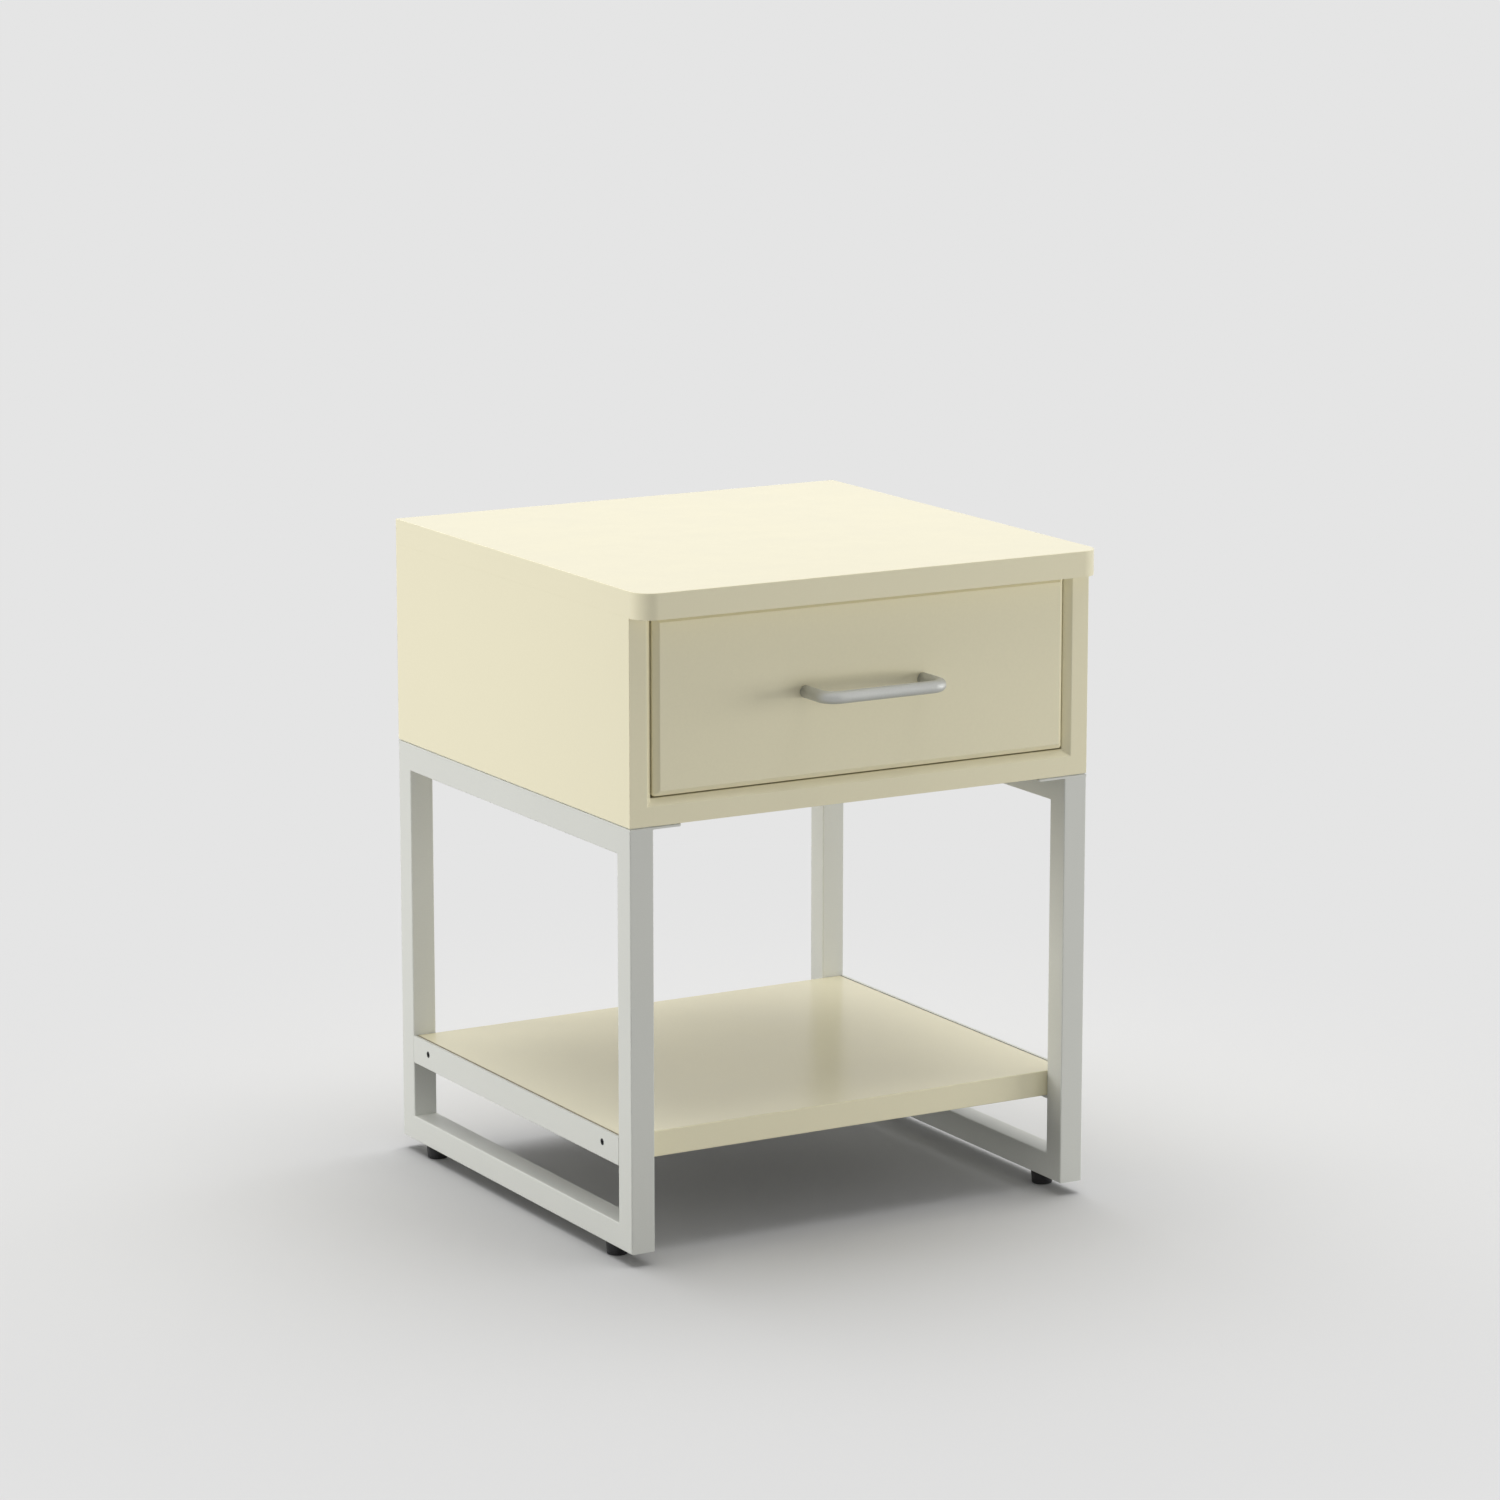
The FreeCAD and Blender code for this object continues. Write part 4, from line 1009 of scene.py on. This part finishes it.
def fastenerTree():
    tree = bpy.data.node_groups.new("fasteners", "GeometryNodeTree")
    for name, kind in (("Places", "NodeSocketGeometry"), ("Fastener", "NodeSocketObject"),
                       ("Size", "NodeSocketFloat"), ("Turn seed", "NodeSocketInt"), ("Finish", "NodeSocketMaterial")):
        tree.interface.new_socket(name, in_out="INPUT", socket_type=kind)
    tree.interface.new_socket("Geometry", in_out="OUTPUT", socket_type="NodeSocketGeometry")
    given = tree.nodes.new("NodeGroupInput").outputs
    shape = add(tree, "GeometryNodeObjectInfo", {"Object": given["Fastener"]})
    aim = add(tree, "GeometryNodeInputNamedAttribute", {"Name": "aim"}, data_type="FLOAT_VECTOR")
    pointed = add(tree, "FunctionNodeAlignRotationToVector", {"Vector": aim.outputs[0]}, axis="Z")
    chance = add(tree, "FunctionNodeRandomValue", {"Seed": given["Turn seed"]}, data_type="FLOAT")
    chance.inputs[2].default_value, chance.inputs[3].default_value = 0.0, math.tau
    spin = add(tree, "FunctionNodeAxisAngleToRotation", {"Axis": (0, 0, 1), "Angle": chance.outputs[1]})
    whole = add(tree, "FunctionNodeRotateRotation", {0: pointed.outputs[0], 1: spin.outputs[0]},
                rotation_space="LOCAL")
    spread = add(tree, "GeometryNodeInstanceOnPoints", {"Points": given["Places"], "Scale": given["Size"],
                 "Instance": shape.outputs["Geometry"], "Rotation": whole.outputs[0]})
    real = add(tree, "GeometryNodeRealizeInstances", {0: spread.outputs[0]})
    painted = add(tree, "GeometryNodeSetMaterial", {"Geometry": real.outputs[0], "Material": given["Finish"]})
    tree.links.new(painted.outputs[0], tree.nodes.new("NodeGroupOutput").inputs[0])
    return tree


fasteners = fastenerTree()


def spreadOut(name, shape, places, seed, finish, body, node, slot):
    # places: (x, y, z, direction it is driven in), in millimetres
    mesh = bpy.data.meshes.new(name)
    mesh.from_pydata([(x * mm, y * mm, z * mm) for x, y, z, _ in places], [], [])
    aims = mesh.attributes.new("aim", "FLOAT_VECTOR", "POINT")
    for i, (_, _, _, aim) in enumerate(places):
        aims.data[i].vector = aim
    obj = linked(bpy.data.objects.new(name, mesh))
    modifier = obj.modifiers.new("spread", "NODES")
    modifier.node_group = fasteners
    inputs = {"Fastener": shape, "Size": 1.0, "Turn seed": seed, "Finish": finish}
    for item in fasteners.interface.items_tree:
        if item.in_out == "INPUT" and item.name in inputs:
            modifier[item.identifier] = inputs[item.name]
    baked(obj)
    if "aim" in obj.data.attributes:
        obj.data.attributes.remove(obj.data.attributes["aim"])
    return dress(obj, body, node, slot)


def crossRecess(top):
    # two crossing tapered blades, cut one by one: as one cutter they leave nothing of a screw
    reach, width, depth = (screwValues[k] * mm for k in ("crossReach", "crossWidth", "crossDepth"))
    blades = []
    for turn in (0, 1):
        outlines = []
        for height, share in ((top - mm, 1.0), (top + depth, screwValues["crossTaper"])):
            a, b = reach * share, width / 2
            corners = [(-a, -b), (a, -b), (a, b), (-a, b)]
            if turn:
                corners = [(-y, x) for x, y in corners]
            outlines.append([(x, y, height) for x, y in corners])
        blades.append(loft(outlines))
    return blades


def hexRecess(top):
    radius, depth = screwValues["socketRadius"] * mm, screwValues["socketDepth"] * mm
    # shifted off the lathe's own lines
    return [prism(circle(radius, 6, 0.3), "z", top - mm, top + depth)]


def screwShape(kind, length, recess=crossRecess):
    # driven along +Z; a flush head starts just past zero, a pan head stands out below it
    r = screwValues["radius"]
    if kind == "flush":
        head = screwValues["headRadius"]
        sunk = screwValues["sunk"]
        rows = [(0, sunk), (head - 0.25, sunk), (head, sunk + 0.2), (r, screwValues["headHeight"])]
        top, start = 0.0, screwValues["headHeight"] + 0.6
    else:
        head, height = screwValues["panRadius"], screwValues["panHeight"]
        rows = [(0, -height), (head * 0.42, -height), (head * 0.68, -height * 0.93), (head * 0.86, -height * 0.76),
                (head * 0.97, -height * 0.45), (head, -height * 0.15), (head, 0), (r, 0)]
        top, start = -height * mm, 0.8
    rows = plainRows(rows) + threadRows(r, start, length - 2.2, screwValues["threadDepth"], screwValues["pitch"], 5)
    rows += plainRows([(r * 0.6, length - 1.2), (0, length)])
    obj = turned("shape", rows, steps=screwValues["headSteps"], pitch=screwValues["pitch"] * mm)
    carve(obj, *recess(top))
    return smoothTurned(dropSlivers(obj), 35)


def buildScrews():
    groups = [
        ("flangeScrewSet", "pan", 16, screwPlaces["flange"], "cabinet", "flange_screws"),
        ("backPanelScrewSet", "flush", 18, screwPlaces["backPanel"], "cabinet", "back_panel_screws"),
        ("caseRunnerScrewSet", "flush", 10, screwPlaces["caseRunner"], "cabinet", "case_runner_screws"),
        ("drawerRunnerScrewSet", "flush", 10, screwPlaces["drawerRunner"], "drawer", "drawer_runner_screws"),
        ("drawerBoxScrewSet", "flush", 30, screwPlaces["drawerBox"], "drawer", "drawer_box_screws"),
        ("drawerBottomScrewSet", "pan", 20, screwPlaces["drawerBottom"], "drawer", "drawer_bottom_screws"),
        ("drawerFrontScrewSet", "pan", 25, screwPlaces["drawerFront"], "drawer", "drawer_front_screws"),
        ("handleScrewSet", "pan", 38, screwPlaces["handle"], "drawer", "handle_screws"),
    ]
    for seed, (name, kind, length, places, body, node) in enumerate(groups):
        shape = screwShape(kind, length)
        spreadOut(name, shape, places, seed, zinc, body, node, "zinc_steel")
        bpy.data.objects.remove(shape)
    shape = screwShape("flush", 30, hexRecess)
    spreadOut("shelfScrewSet", shape, screwPlaces["shelf"], 11, blackScrew, "cabinet", "shelf_screws",
              "black_steel")
    bpy.data.objects.remove(shape)
    print("screws built")


# profiles of the other turned fasteners, as (radius, height)
rivetProfile = [(0, 0.4), (1.4, 0.4), (2.0, 0), (2.5, 0), (2.5, 1.2), (4, 1.2), (4, 2.0), (2.5, 2.0),
                (2.5, 8.4), (4, 8.4), (3.9, 9.0), (3.3, 9.35), (2.2, 9.4), (0, 9.4)]
nutProfile = [(4.05, 0), (5.4, 0), (5.4, 1.5), (7, 1.5), (7, 9.1), (6.6, 9.5), (4.4, 9.5), (4.05, 9.2)]
camLip = 0.25   # how far a cam lock stands out of its hole
camProfile = [(0, -camLip), (6.9, -camLip), (7.5, 0.1), (7.5, 17.2), (7.1, 17.5), (0, 17.5)]


def buildTurnedFasteners():
    rivet = turned("shape", plainRows(rivetProfile), steps=36)
    spreadOut("caseRollerRivetSet", rivet, [(225 * s, -179.5, 472.7, (-s, 0, 0)) for s in both], 12, zinc,
              "cabinet", "case_roller_rivets", "zinc_steel")
    spreadOut("drawerRollerRivetSet", rivet, [(212.5 * s, 195, 471.2, (s, 0, 0)) for s in both], 13, zinc,
              "drawer", "drawer_roller_rivets", "zinc_steel")
    bpy.data.objects.remove(rivet)

    nut = turned("shape", plainRows(nutProfile), steps=32, closed=True)
    spots = [(237.5 * s, y, 13, up) for s in both for y in (-164.5, 211.5)]
    spreadOut("footNutSet", nut, spots, 14, zinc, "cabinet", "foot_weld_nuts", "zinc_steel")
    bpy.data.objects.remove(nut)

    cam = turned("shape", plainRows(camProfile), steps=40)
    carve(cam, *crossRecess(-camLip * mm))
    smoothTurned(cam, 35)
    camSpots = [(225 * s, y, 591, (s, 0, 0)) for s in both for y in (-155.5, 202.5)]
    camSpots += [(201 * s, y, 444, (0, 0, -1)) for s in both for y in (-155.5, 202.5)]
    spreadOut("camLockSet", cam, camSpots, 15, zinc, "cabinet", "cam_locks", "zinc_steel")
    bpy.data.objects.remove(cam)
    print("turned fasteners built")


buildScrews()
buildTurnedFasteners()

# ---------- carried-over CAD nodes: hidden joints of the case

for node, material in (("case_dowels", beech), ("cam_bolts", zinc)):
    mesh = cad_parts[node].data
    mesh.materials.clear()
    mesh.materials.append(material)
